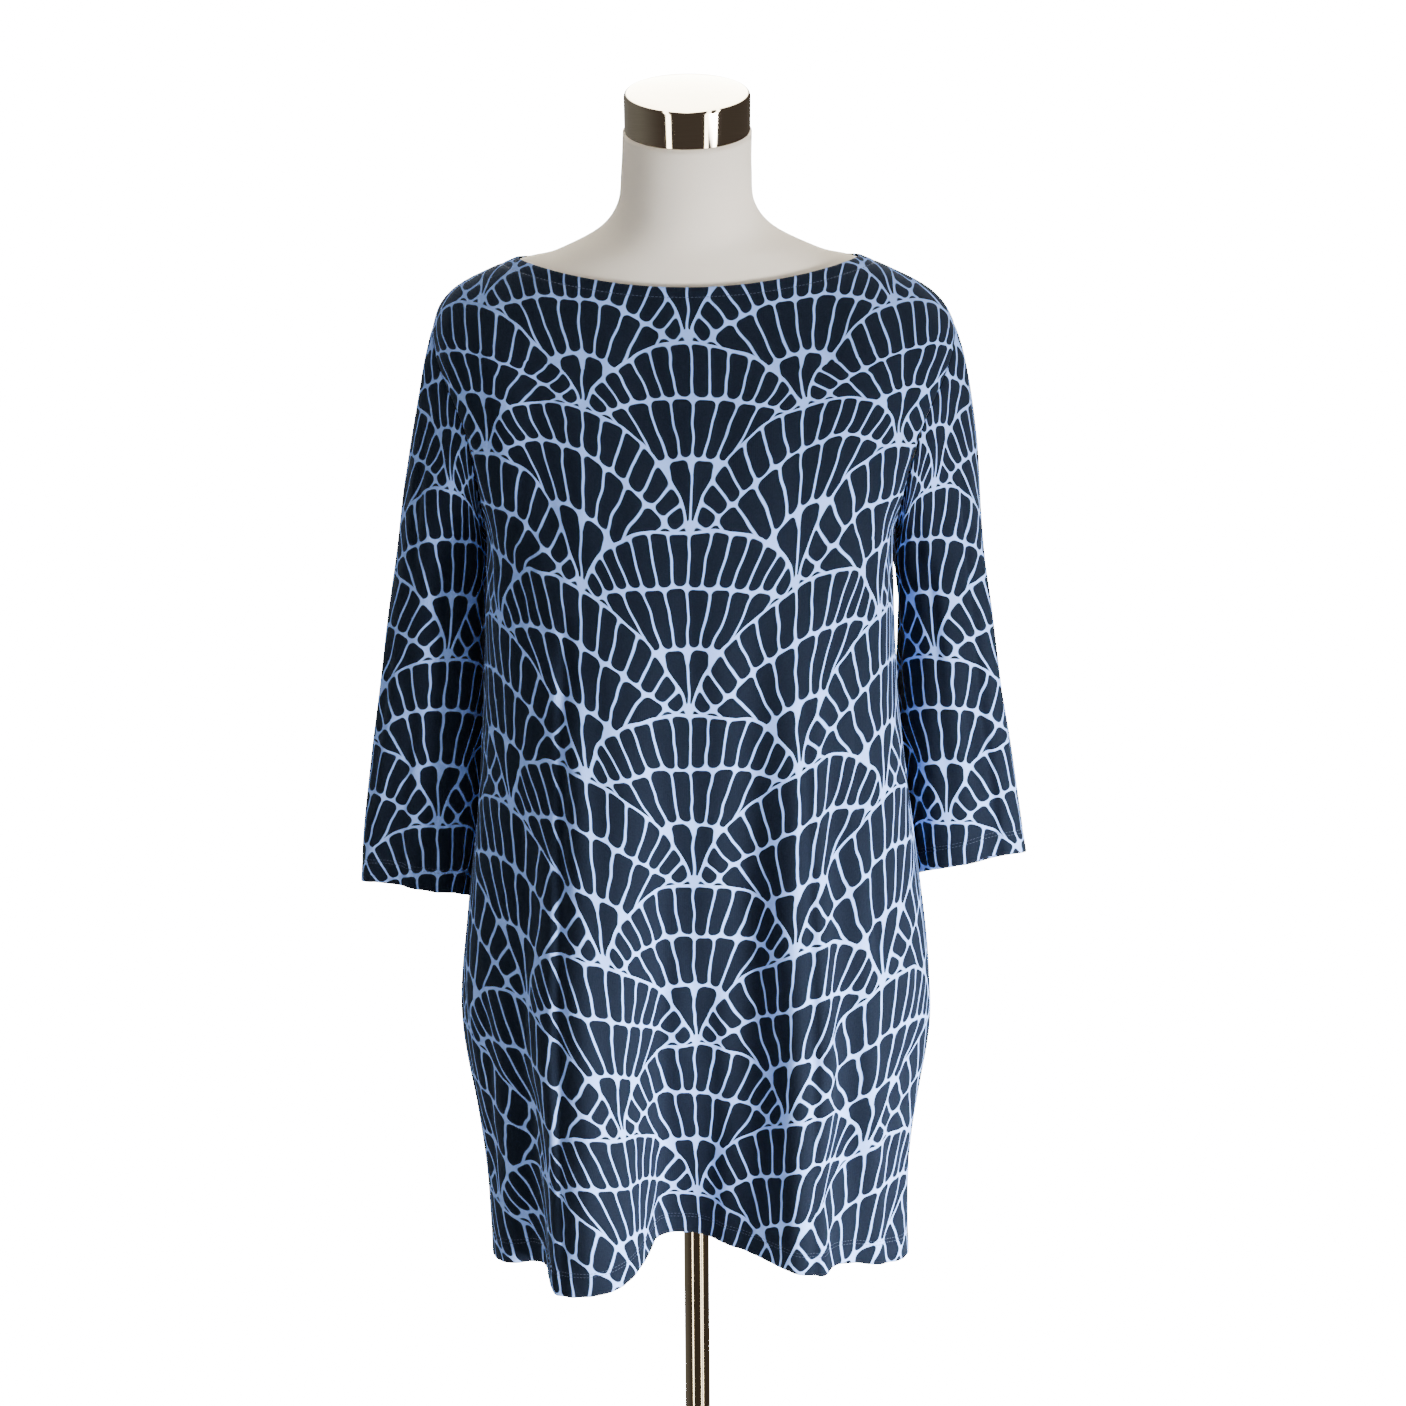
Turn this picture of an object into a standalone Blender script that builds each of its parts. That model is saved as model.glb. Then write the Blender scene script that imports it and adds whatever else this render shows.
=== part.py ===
import math

import bmesh
import bpy
import numpy as np

# A boat-neck tunic with three-quarter sleeves, worn by a limbless dress form that
# stands on the floor. Metres, +Z up, front towards -Y, floor at z = 0.

# Cloth
WALL = 0.0015               # thickness of the cloth
TURNED_WALL = 0.0023        # thickness where an edge is turned under
SEAM_GAP = 0.0004           # space left between two pieces that are sewn together
HEM_TURNING = 0.020         # depth of the turned hem and cuffs
NECK_TURNING = 0.010        # depth of the turned neck edge
ARMHOLE_SCOOP = 0.50        # radians that the armhole cuts into each panel
ARMHOLE_ROUNDNESS = 0.7     # below 1 the armhole's curve is fuller at its ends
FOLD_TURNING = 5            # how late a fold's direction turns outwards, from front to side
PROBE = 0.0005              # step used to measure slopes on the cloth

# Grids
FRONT_COLUMNS = 34
BACK_COLUMNS = 28
SHOULDER_ROWS = (0.0, 0.010, 0.022, 0.035, 0.050)
ARMHOLE_ROWS = 8
BODY_ROWS = 14
CAP_ROWS = 6
SLEEVE_ROWS = 9
FORM_COLUMNS = 32
FORM_NECK_ROWS = 9
FORM_BODY_ROWS = 9
ROUND_SIDES = 32
CROWDING = 1.6              # how many more columns there are where a large fold turns
CROWDING_WIDTH = 0.05

# Stand
FIT_GAP = 0.0003
NECK_LEAN = -0.0210         # how far the top of the neck stands ahead of the shoulders
NECK_TILT = 0.285           # slope of the top of the neck, down to the front
CAP_RADIUS = 0.0515
CAP_HEIGHT = 0.033
CAP_DOME = 0.004
CAP_ROUNDING = 0.0035
POLE_RADIUS = 0.0117
SOCKET_RADIUS = 0.030
SOCKET_HEIGHT = 0.026
COLLAR_RADIUS = 0.021
COLLAR_HEIGHT = 0.034
BASE_RADIUS = 0.170
BASE_EDGE = 0.007
BASE_RISE = 0.012
BOSS_RADIUS = 0.032
DISH_RADIUS = 0.102         # where the plate starts to rise towards its boss
DISH_RISE = 0.002
METAL_BEVEL = 0.002
CENTRE_RADIUS = 0.002       # small flat at the middle of a turned solid

# Level sections. "down" runs along the middle of the front from the neck edge, "square"
# fills out the corners of the oval, "shift" moves it sideways and "lean" moves it back.
SECTION_COLUMNS = ("down", "side_z", "front_z", "back_z", "half_width", "front", "back",
                   "square", "shift", "lean")
TUNIC_SECTIONS = {
    "collar_line": (-0.035, 1.4035, 1.395, 1.416, 0.1080, 0.0630, 0.0610, 0.00, 0.0000, 0.0),
    "neck_edge": (0.000, 1.3935, 1.373, 1.387, 0.1430, 0.0700, 0.0640, 0.00, 0.0000, 0.0),
    "shoulder": (0.035, 1.3655, 1.336, 1.353, 0.2005, 0.0830, 0.0820, 0.03, 0.0005, 0.0),
    "tip": (0.065, 1.3380, 1.305, 1.320, 0.2190, 0.0960, 0.0930, 0.05, 0.0035, 0.0),
    "chest": (0.130, 1.2500, 1.240, 1.245, 0.2050, 0.1190, 0.1030, 0.06, 0.0030, 0.0),
    "underarm": (0.205, 1.1650, 1.165, 1.165, 0.1760, 0.1320, 0.1060, 0.06, 0.0000, 0.0),
    "bust": (0.260, 1.1100, 1.110, 1.110, 0.1765, 0.1370, 0.1040, 0.06, -0.0015, 0.0),
    "under_bust": (0.355, 1.0150, 1.015, 1.015, 0.1815, 0.1360, 0.1010, 0.06, -0.0005, 0.0),
    "waist": (0.450, 0.9200, 0.922, 0.920, 0.1910, 0.1340, 0.1040, 0.06, 0.0015, 0.0),
    "high_hip": (0.530, 0.8400, 0.846, 0.840, 0.2017, 0.1310, 0.1130, 0.07, 0.0015, 0.0),
    "hip": (0.635, 0.7350, 0.745, 0.735, 0.2120, 0.1260, 0.1230, 0.08, 0.0018, 0.0),
    "thigh": (0.780, 0.5800, 0.603, 0.577, 0.1950, 0.1150, 0.1190, 0.10, 0.0020, 0.0),
    "hem": (0.860, 0.4870, 0.528, 0.482, 0.1925, 0.1070, 0.1150, 0.13, 0.0045, 0.0),
}
FORM_SECTIONS = {
    "neck_top": (-0.135, 1.4948, 1.4948, 1.4948, 0.0528, 0.0510, 0.0510, 0.00, 0.0, -0.0210),
    "neck_middle": (-0.105, 1.4635, 1.4585, 1.4685, 0.0538, 0.0525, 0.0525, 0.00, -0.001, -0.0145),
    "neck_low": (-0.080, 1.4360, 1.4260, 1.4442, 0.0572, 0.0545, 0.0530, 0.00, -0.0015, -0.0080),
    "neck_foot": (-0.057, 1.4163, 1.4053, 1.4266, 0.0735, 0.0575, 0.0520, 0.00, -0.001, -0.0020),
    "collar_line": (-0.035, 1.4000, 1.3942, 1.4060, 0.1068, 0.0598, 0.0545, 0.00, 0.000, 0.0),
    "neck_edge": (0.000, 1.3906, 1.3714, 1.3854, 0.1417, 0.0662, 0.0602, 0.00, 0.000, 0.0),
    "shoulder": (0.035, 1.3633, 1.3352, 1.3518, 0.1986, 0.0796, 0.0786, 0.03, 0.000, 0.0),
    "tip": (0.065, 1.3340, 1.3040, 1.3190, 0.2125, 0.0916, 0.0886, 0.05, 0.003, 0.0),
    "chest": (0.130, 1.2500, 1.2400, 1.2450, 0.1980, 0.1140, 0.0980, 0.06, 0.003, 0.0),
    "underarm": (0.205, 1.1650, 1.1650, 1.1650, 0.1600, 0.1250, 0.1010, 0.06, 0.003, 0.0),
    "bust": (0.260, 1.1100, 1.1100, 1.1100, 0.1570, 0.1310, 0.0970, 0.05, 0.003, 0.0),
    "under_bust": (0.355, 1.0150, 1.0150, 1.0150, 0.1370, 0.1040, 0.0850, 0.02, 0.002, 0.0),
    "waist": (0.450, 0.9200, 0.9200, 0.9200, 0.1250, 0.0900, 0.0800, 0.02, 0.0, 0.0),
    "high_hip": (0.530, 0.8400, 0.8400, 0.8400, 0.1500, 0.0920, 0.0990, 0.03, 0.0, 0.0),
    "hip": (0.610, 0.7600, 0.7600, 0.7600, 0.1700, 0.0900, 0.1080, 0.04, 0.0, 0.0),
    "foot": (0.665, 0.7050, 0.7050, 0.7050, 0.1680, 0.0840, 0.1030, 0.04, 0.0, 0.0),
    "edge": (0.675, 0.6970, 0.6970, 0.6970, 0.1590, 0.0760, 0.0950, 0.04, 0.0, 0.0),
}

# Large folds. The cloth steps out by "rise" and down by "drop" at "low_across" of the hem
# and at "top_across" where the fold starts. -1 and 1 are the side seams, and the widths say
# how soft a step is.
FLANK_COLUMNS = ("top_down", "top_across", "low_across", "top_width", "low_width", "rise", "drop")
FRONT_FLANKS = {
    "left_lobe_outer": (0.25, -0.42, -0.415, 0.05, 0.022, 0.053, 0.006),
    "left_lobe_inner": (0.25, -0.12, -0.160, 0.06, 0.050, -0.099, -0.006),
    "right_lobe_inner": (0.25, 0.23, 0.140, 0.06, 0.140, 0.084, 0.000),
    "right_lobe_outer": (0.25, 0.38, 0.357, 0.05, 0.022, -0.033, 0.001),
    "right_panel": (0.25, 0.62, 0.620, 0.10, 0.080, -0.005, -0.001),
}
BACK_FLANKS = {
    "left_lobe_outer": (0.35, -0.55, -0.500, 0.08, 0.050, 0.026, 0.003),
    "left_lobe_inner": (0.35, -0.20, -0.240, 0.08, 0.080, -0.036, -0.004),
    "right_lobe_inner": (0.35, 0.14, 0.200, 0.08, 0.090, 0.034, 0.004),
    "right_lobe_outer": (0.35, 0.50, 0.480, 0.08, 0.050, -0.024, -0.003),
}
FLANK_EASE = 1.15           # how slowly a fold opens out on its way down
DROP_EASE = 3.0             # how late a fold pulls the cloth down

# Sleeves, with "out" measured from the middle of the tunic and "rise" the height that the
# outer edge of a section has over its inner edge, for each metre across it.
SLEEVE_COLUMNS = ("along", "out", "back", "z", "half_wide", "half_deep", "rise", "pitch")
LEFT_SLEEVE = {
    "upper": (0.0, 0.2195, 0.022, 1.115, 0.0395, 0.0520, 0.14, 0.00),
    "bicep": (0.2, 0.2260, 0.020, 1.056, 0.0425, 0.0500, 0.15, 0.04),
    "elbow": (0.5, 0.2350, 0.018, 0.970, 0.0480, 0.0450, 0.15, 0.12),
    "lower": (0.8, 0.2460, 0.018, 0.886, 0.0495, 0.0380, 0.15, 0.26),
    "cuff": (1.0, 0.2520, 0.020, 0.828, 0.0480, 0.0330, 0.15, 0.34),
}
RIGHT_SLEEVE = {
    "upper": (0.0, 0.2195, 0.022, 1.115, 0.0395, 0.0520, 0.14, 0.00),
    "bicep": (0.2, 0.2260, 0.020, 1.062, 0.0405, 0.0500, 0.15, 0.04),
    "elbow": (0.5, 0.2325, 0.019, 0.983, 0.0465, 0.0450, 0.17, 0.12),
    "lower": (0.8, 0.2450, 0.019, 0.902, 0.0475, 0.0380, 0.19, 0.26),
    "cuff": (1.0, 0.2518, 0.020, 0.849, 0.0482, 0.0330, 0.20, 0.34),
}
# Long creases down each sleeve: place round it in turns from its outer edge by the front,
# width in turns, depth, and the stretch of the sleeve that has them.
CREASE_COLUMNS = ("turn", "width", "depth", "first", "last")
LEFT_CREASES = {
    "front": (0.17, 0.045, 0.006, 0.35, 2.2),
    "back": (0.70, 0.060, 0.007, 0.60, 2.2),
}
RIGHT_CREASES = {
    "front": (0.20, 0.035, 0.007, 0.55, 2.2),
    "back": (0.76, 0.060, 0.006, 0.50, 2.2),
}
CREASE_EASE = 0.7           # how soon a crease reaches its depth
CAP_LEAVE = 0.30            # how far the cap follows the body's slope before it bends down
CAP_ARRIVE = 0.42
UNDERARM_LIFT = 0.85        # how much the sleeve turns out from the body under the arm
UNDERARM_TIGHTNESS = 0.75   # how much sooner it bends down there than at the shoulder
TIP_SETTLE = 0.25           # share of the armhole over which the cap gains its way across

TIP_DOWN = TUNIC_SECTIONS["tip"][0]
UNDERARM_DOWN = TUNIC_SECTIONS["underarm"][0]
HEM_DOWN = TUNIC_SECTIONS["hem"][0]
FORM_TOP_DOWN, FORM_TOP_Z = FORM_SECTIONS["neck_top"][:2]
FORM_FOOT_DOWN = FORM_SECTIONS["foot"][0]
FORM_EDGE_DOWN, FORM_EDGE_Z = FORM_SECTIONS["edge"][:2]


def curve_through(knots, values, at):
    # Cubic curve through the values, its slope at each knot taken from both neighbours.
    slopes = np.gradient(values, knots)
    place = np.clip(np.searchsorted(knots, at) - 1, 0, len(knots) - 2)
    width = knots[place + 1] - knots[place]
    part = (at - knots[place]) / width
    ease = part * part * (3 - 2 * part)
    bend = width * part * (1 - part) * ((1 - part) * slopes[place] - part * slopes[place + 1])
    return (1 - ease) * values[place] + ease * values[place + 1] + bend


def read_table(table, columns, at):
    # Every column of a table at the places given, as a dictionary of arrays.
    rows = np.array(list(table.values()))
    knots = rows[:, 0]
    return {name: curve_through(knots, rows[:, place + 1], at)
            for place, name in enumerate(columns[1:])}


def oval(sections, angle, down):
    # Points of a level section: angle 0 is straight ahead and pi/2 the right-hand side.
    size = read_table(sections, SECTION_COLUMNS, down)
    ahead = np.cos(angle)
    bulge = 1 + size["square"] * np.sin(2 * angle) ** 2
    depth = np.where(ahead > 0, size["front"], size["back"])
    level = np.where(ahead > 0, size["front_z"], size["back_z"])
    x = size["shift"] + size["half_width"] * np.sin(angle) * bulge
    y = size["lean"] - depth * ahead * bulge
    z = size["side_z"] + (level - size["side_z"]) * ahead ** 2
    z = z - NECK_TILT * size["lean"] / NECK_LEAN * depth * ahead * bulge
    return np.stack([x, y, z], axis=-1)


def named_rows(table, columns):
    # The rows of a table as dictionaries.
    return [dict(zip(columns, row)) for row in table.values()]


def large_folds(flanks, across, down):
    # How far the large folds carry the cloth out and down from its plain oval.
    rise = np.zeros(np.broadcast(across, down).shape)
    drop = np.zeros_like(rise)
    for flank in named_rows(flanks, FLANK_COLUMNS):
        grown = np.clip((down - flank["top_down"]) / (HEM_DOWN - flank["top_down"]), 0, 1)
        place = flank["top_across"] + (flank["low_across"] - flank["top_across"]) * grown
        width = flank["top_width"] + (flank["low_width"] - flank["top_width"]) * grown
        step = 0.5 * (1 + np.tanh((across - place) / width))
        rise = rise + flank["rise"] * grown ** FLANK_EASE * step
        drop = drop + flank["drop"] * grown ** DROP_EASE * step
    return rise, drop


def tunic_surface(angle, down):
    # Outer face of front and back together, as one tube round the form.
    angle, down = np.broadcast_arrays(angle, down)
    ahead = np.cos(angle)
    quarter = math.pi / 2
    across = np.where(ahead > 0, angle / quarter, 2 - np.mod(angle, 4 * quarter) / quarter)
    front = large_folds(FRONT_FLANKS, across, down)
    back = large_folds(BACK_FLANKS, across, down)
    rise, drop = np.where(ahead > 0, front, back)
    heading = np.stack([np.sin(angle) ** FOLD_TURNING, -ahead, np.zeros_like(ahead)], axis=-1)
    heading = heading / np.linalg.norm(heading, axis=-1, keepdims=True)
    points = oval(TUNIC_SECTIONS, angle, down) + heading * rise[..., None]
    points[..., 2] -= drop
    return points


def inward_normals(surface, first, second):
    # Unit normals of a surface of two parameters, from differences: first runs round the
    # body anticlockwise from above, and second runs down.
    along_first = surface(first + PROBE, second) - surface(first - PROBE, second)
    along_second = surface(first, second + PROBE) - surface(first, np.maximum(second - PROBE, 0))
    normal = np.cross(along_first, along_second)
    return normal / np.linalg.norm(normal, axis=-1, keepdims=True)


def down_rows():
    # Places of the rows, from the neck edge past both ends of the armhole to the hem.
    armhole = np.linspace(TIP_DOWN, UNDERARM_DOWN, ARMHOLE_ROWS + 1)
    body = np.linspace(UNDERARM_DOWN, HEM_DOWN - HEM_TURNING, BODY_ROWS + 1)
    return np.concatenate([SHOULDER_ROWS, armhole, body[1:], [HEM_DOWN]])


def armhole_edge(down):
    # Angle at which the armhole cuts a panel, a right angle above and below it.
    part = np.clip((down - TIP_DOWN) / (UNDERARM_DOWN - TIP_DOWN), 0, 1)
    return math.pi / 2 - ARMHOLE_SCOOP * np.sin(math.pi * part) ** ARMHOLE_ROUNDNESS


def seam_angle(down):
    # Angle of a side or shoulder seam, drawn back by half of the seam gap.
    side = math.pi / 2
    speed = np.linalg.norm(tunic_surface(side, down) - tunic_surface(side - PROBE, down), axis=-1)
    return 0.5 * SEAM_GAP * PROBE / speed


def spread_columns(count, flanks):
    # Columns from -1 to 1, closer together where the large folds turn.
    places = np.linspace(-1, 1, 801)
    density = np.ones_like(places)
    for flank in named_rows(flanks, FLANK_COLUMNS):
        density += CROWDING * np.exp(-((places - flank["low_across"]) / CROWDING_WIDTH) ** 2)
    filled = np.concatenate([[0], np.cumsum((density[1:] + density[:-1]) / 2)])
    return np.interp(np.linspace(0, filled[-1], count + 1), filled, places)


def quad_strip(first, second):
    # Faces between two lists of vertex numbers of the same length.
    return [(first[i], first[i + 1], second[i + 1], second[i]) for i in range(len(first) - 1)]


def wall_mesh(name, outer, inner, closed):
    # One closed solid between an outer and an inner grid of points. A closed grid is a
    # tube, whose last column meets its first.
    rows, columns = outer.shape[:2]
    number = np.arange(rows * columns).reshape(rows, columns)
    if closed:
        number = np.hstack([number, number[:, :1]])
    other = number + rows * columns
    faces = []
    for row in range(rows - 1):
        faces += quad_strip(number[row], number[row + 1])
        faces += quad_strip(other[row + 1], other[row])
    faces += quad_strip(other[0], number[0]) + quad_strip(number[-1], other[-1])
    if not closed:
        faces += quad_strip(number[:, 0], other[:, 0]) + quad_strip(other[:, -1], number[:, -1])
    points = np.concatenate([outer.reshape(-1, 3), inner.reshape(-1, 3)])
    return closed_object(name, points, faces)


def closed_object(name, points, faces):
    # A mesh object from points and faces, with every face turned outwards.
    mesh = bpy.data.meshes.new(name)
    mesh.from_pydata([tuple(point) for point in points.tolist()], [],
                     [tuple(int(i) for i in face) for face in faces])
    shape = bmesh.new()
    shape.from_mesh(mesh)
    bmesh.ops.recalc_face_normals(shape, faces=shape.faces)
    shape.to_mesh(mesh)
    shape.free()
    mesh.shade_smooth()
    item = bpy.data.objects.new(name, mesh)
    bpy.context.scene.collection.objects.link(item)
    return item


def panel(name, columns, flanks, back):
    # Front or back: from shoulder to shoulder and from the neck edge to the hem.
    down = down_rows()[:, None]
    across = spread_columns(columns, flanks)[None, :]
    edge = np.where(np.isclose(armhole_edge(down), math.pi / 2),
                    math.pi / 2 - seam_angle(down), armhole_edge(down))
    turn = across * edge
    angle = math.pi - turn if back else turn
    angle, down = np.broadcast_arrays(angle, down)
    outer = tunic_surface(angle, down)
    inward = inward_normals(tunic_surface, angle, down)
    turned = (down < NECK_TURNING) | (down > HEM_DOWN - HEM_TURNING + PROBE)
    thick = np.where(turned, TURNED_WALL, WALL)[..., None]
    return wall_mesh(name, outer, outer + inward * thick, closed=False)


def mouth_place(side, turn):
    # The armhole as a loop on the body: turn 0 at the shoulder, 1/4 in front, 1/2 under
    # the arm. Gives the angle and the height on the tunic's surface.
    turn = np.mod(turn, 1.0)
    fore = turn <= 0.5
    down = TIP_DOWN + (UNDERARM_DOWN - TIP_DOWN) * 2 * np.where(fore, turn, 1 - turn)
    edge = armhole_edge(down)
    return side * np.where(fore, edge, math.pi - edge), down


def under_arm(turn):
    # 0 at the top of the armhole, 1 under the arm.
    return 0.5 * (1 - np.cos(2 * math.pi * turn))[..., None]


def mouth_heading(side, turn):
    # Direction in which the sleeve leaves the armhole: on down the shoulder at the top,
    # and straight out from the body under the arm. Near the shoulder tip its way forward or
    # back fades out, so the cap stays round and never crosses itself.
    edge = (tunic_surface(*mouth_place(side, turn + PROBE))
            - tunic_surface(*mouth_place(side, turn - PROBE)))
    out = -inward_normals(tunic_surface, *mouth_place(side, turn))
    onward = side * np.cross(out, edge)
    onward = onward / np.linalg.norm(onward, axis=-1, keepdims=True)
    under = under_arm(turn)
    heading = onward * (1 - UNDERARM_LIFT * under) + out * under
    settled = np.clip(np.minimum(turn, 1 - turn) / TIP_SETTLE, 0, 1)
    heading[..., 1] *= settled * settled * (3 - 2 * settled)
    return heading / np.linalg.norm(heading, axis=-1, keepdims=True)


def tube_section(table, side, turn, along):
    # A level section of the hanging sleeve, turn 0 at its outer edge and 1/4 in front.
    size = read_table(table, SLEEVE_COLUMNS, along)
    round_angle = 2 * math.pi * turn
    reach = size["half_wide"] * np.cos(round_angle)
    ahead = size["half_deep"] * np.sin(round_angle)
    x = side * (size["out"] + reach)
    y = size["back"] - ahead
    z = size["z"] + size["rise"] * reach + size["pitch"] * ahead
    return np.stack([x, y, z], axis=-1)


def sleeve_surface(side, table, creases, turn, along):
    # Outer face of a sleeve: along 0 to 1 is the cap, 1 to 2 the hanging tube.
    turn, along = np.broadcast_arrays(np.mod(turn, 1.0), along)
    start = tunic_surface(*mouth_place(side, turn))
    top = tube_section(table, side, turn, np.zeros_like(along))
    below = tube_section(table, side, turn, np.full_like(along, PROBE))
    leave = mouth_heading(side, turn)
    arrive = (below - top) / np.linalg.norm(below - top, axis=-1, keepdims=True)
    span = np.linalg.norm(top - start, axis=-1, keepdims=True)
    part = np.clip(along, 0, 1)[..., None]
    start = start + leave * SEAM_GAP
    first = start + leave * span * CAP_LEAVE * (1 - UNDERARM_TIGHTNESS * under_arm(turn))
    second = top - arrive * span * CAP_ARRIVE
    cap = ((1 - part) ** 3 * start + 3 * (1 - part) ** 2 * part * first
           + 3 * (1 - part) * part ** 2 * second + part ** 3 * top)
    tube = tube_section(table, side, turn, np.clip(along - 1, 0, 1))
    points = np.where((along <= 1)[..., None], cap, tube)
    inward = -np.stack([side * np.cos(2 * math.pi * turn), -np.sin(2 * math.pi * turn),
                        np.zeros_like(turn)], axis=-1)
    depth = np.zeros_like(along)
    for crease in named_rows(creases, CREASE_COLUMNS):
        stretch = np.clip((along - crease["first"]) / (crease["last"] - crease["first"]), 0, 1)
        shape = np.exp(-((turn - crease["turn"]) / crease["width"]) ** 2)
        depth = depth + crease["depth"] * shape * stretch ** CREASE_EASE
    return points + inward * depth[..., None]


def sleeve(name, side, table, creases):
    # A sleeve as one tube of cloth, open at the armhole and at the cuff.
    turn = (np.arange(2 * ARMHOLE_ROWS) / (2 * ARMHOLE_ROWS))[None, :]
    length = 1 + np.linspace(0, 1, SLEEVE_ROWS + 1)
    along = np.concatenate([np.linspace(0, 1, CAP_ROWS + 1), length[1:]])[:, None]
    turn, along = np.broadcast_arrays(turn, along)

    def surface(first, second):
        return sleeve_surface(side, table, creases, first, second)

    outer = surface(turn, along)
    inward = -side * inward_normals(surface, turn, along)
    thick = np.where(along > 2 - 0.5 / SLEEVE_ROWS, TURNED_WALL, WALL)[..., None]
    return wall_mesh(name, outer, outer + inward * thick, closed=True)


def form_torso():
    # The limbless torso with its neck, one closed solid with a flat foot and neck top.
    covered = down_rows()
    neck = np.linspace(FORM_TOP_DOWN, 0, FORM_NECK_ROWS + 1)[:-1]
    body = np.linspace(UNDERARM_DOWN, FORM_FOOT_DOWN, FORM_BODY_ROWS + 1)[1:]
    down = np.concatenate([neck, covered[covered <= UNDERARM_DOWN], body, [FORM_EDGE_DOWN]])
    down = down[:, None]
    angle = (np.arange(FORM_COLUMNS) * 2 * math.pi / FORM_COLUMNS)[None, :]
    angle, down = np.broadcast_arrays(angle, down)
    points = oval(FORM_SECTIONS, angle, down)
    rows = points.shape[0]
    number = np.arange(rows * FORM_COLUMNS).reshape(rows, FORM_COLUMNS)
    loops = np.hstack([number, number[:, :1]])
    faces = [face for row in range(rows - 1) for face in quad_strip(loops[row], loops[row + 1])]
    faces += [tuple(number[0]), tuple(number[-1])]
    return closed_object("form_torso", points.reshape(-1, 3), faces)


def turned_solid(name, profile, hollow):
    # A profile of radius and height turned about the Z axis. A hollow profile is a closed
    # ring, and any other starts and ends on the axis.
    angle = np.arange(ROUND_SIDES) * 2 * math.pi / ROUND_SIDES
    radius = np.array([point[0] for point in profile])[:, None]
    height = np.array([point[1] for point in profile])[:, None] + 0 * angle
    points = np.stack([radius * np.cos(angle), radius * np.sin(angle), height], axis=-1)
    rows = len(profile)
    number = np.arange(rows * ROUND_SIDES).reshape(rows, ROUND_SIDES)
    loops = np.hstack([number, number[:, :1]])
    faces = [face for row in range(rows - 1) for face in quad_strip(loops[row], loops[row + 1])]
    if hollow:
        faces += quad_strip(loops[-1], loops[0])
    else:
        faces += [tuple(number[0]), tuple(number[-1])]
    return closed_object(name, points.reshape(-1, 3), faces)


def neck_cap():
    # A low brushed cap with a rounded rim and a slightly domed top, leaning with the neck.
    corner = [(CAP_RADIUS - CAP_ROUNDING * (1 - math.cos(turn)),
               CAP_HEIGHT - CAP_ROUNDING * (1 - math.sin(turn)))
              for turn in np.linspace(0, math.pi / 2, 5)]
    crown = [(CAP_RADIUS * share, CAP_HEIGHT + CAP_DOME * (1 - share ** 2))
             for share in (0.75, 0.5, 0.25, CENTRE_RADIUS / CAP_RADIUS)]
    profile = [(CAP_RADIUS, 0.0)] + corner + crown
    item = turned_solid("neck_cap", profile, hollow=False)
    tilt = math.atan(NECK_TILT)
    item.rotation_euler = (tilt, 0, 0)
    item.location = (0, NECK_LEAN - FIT_GAP * math.sin(tilt),
                     FORM_TOP_Z + FIT_GAP * math.cos(tilt))
    return item


def ring(name, outer_radius, low, high):
    # A plain metal ring round the pole, with small bevels at its outer corners.
    inner_radius = POLE_RADIUS + FIT_GAP
    profile = [(inner_radius, low), (outer_radius - METAL_BEVEL, low),
               (outer_radius, low + METAL_BEVEL), (outer_radius, high - METAL_BEVEL),
               (outer_radius - METAL_BEVEL, high), (inner_radius, high)]
    return turned_solid(name, profile, hollow=True)


def stand():
    # Socket, pole, collar and base plate, each clear of the next by the fit gap.
    pole_high = FORM_EDGE_Z - FIT_GAP
    pole_low = BASE_RISE + FIT_GAP
    socket = ring("form_socket", SOCKET_RADIUS, pole_high - SOCKET_HEIGHT, pole_high)
    pole = turned_solid("pole", [(POLE_RADIUS, pole_low), (POLE_RADIUS, pole_high)], hollow=False)
    collar = ring("pole_collar", COLLAR_RADIUS, pole_low, pole_low + COLLAR_HEIGHT)
    plate = [(BASE_RADIUS, 0.0), (BASE_RADIUS, BASE_EDGE - METAL_BEVEL),
             (BASE_RADIUS - METAL_BEVEL, BASE_EDGE), (DISH_RADIUS, BASE_EDGE + DISH_RISE),
             (BOSS_RADIUS, BASE_RISE), (CENTRE_RADIUS, BASE_RISE)]
    base = turned_solid("base_plate", plate, hollow=False)
    return socket, pole, collar, base


def material(name, colour, roughness, metallic):
    # One plain surface for a sub-part.
    surface = bpy.data.materials.new(name)
    surface.use_nodes = True
    shader = surface.node_tree.nodes["Principled BSDF"]
    shader.inputs["Base Color"].default_value = (*colour, 1.0)
    shader.inputs["Roughness"].default_value = roughness
    shader.inputs["Metallic"].default_value = metallic
    return surface


def dress(item, colour, roughness, metallic=0.0):
    item.data.materials.append(material(item.name + "_surface", colour, roughness, metallic))


def clear_scene():
    for item in list(bpy.data.objects):
        bpy.data.objects.remove(item, do_unlink=True)


def main():
    clear_scene()
    printed_jersey = (0.06, 0.09, 0.16)
    steel = (0.42, 0.39, 0.34)
    dress(panel("tunic_front", FRONT_COLUMNS, FRONT_FLANKS, back=False), printed_jersey, 0.85)
    dress(panel("tunic_back", BACK_COLUMNS, BACK_FLANKS, back=True), printed_jersey, 0.85)
    dress(sleeve("sleeve_left", -1, LEFT_SLEEVE, LEFT_CREASES), printed_jersey, 0.85)
    dress(sleeve("sleeve_right", 1, RIGHT_SLEEVE, RIGHT_CREASES), printed_jersey, 0.85)
    dress(form_torso(), (0.67, 0.63, 0.58), 0.8)
    dress(neck_cap(), steel, 0.3, 1.0)
    for item in stand():
        dress(item, steel, 0.3, 1.0)


main()
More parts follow.
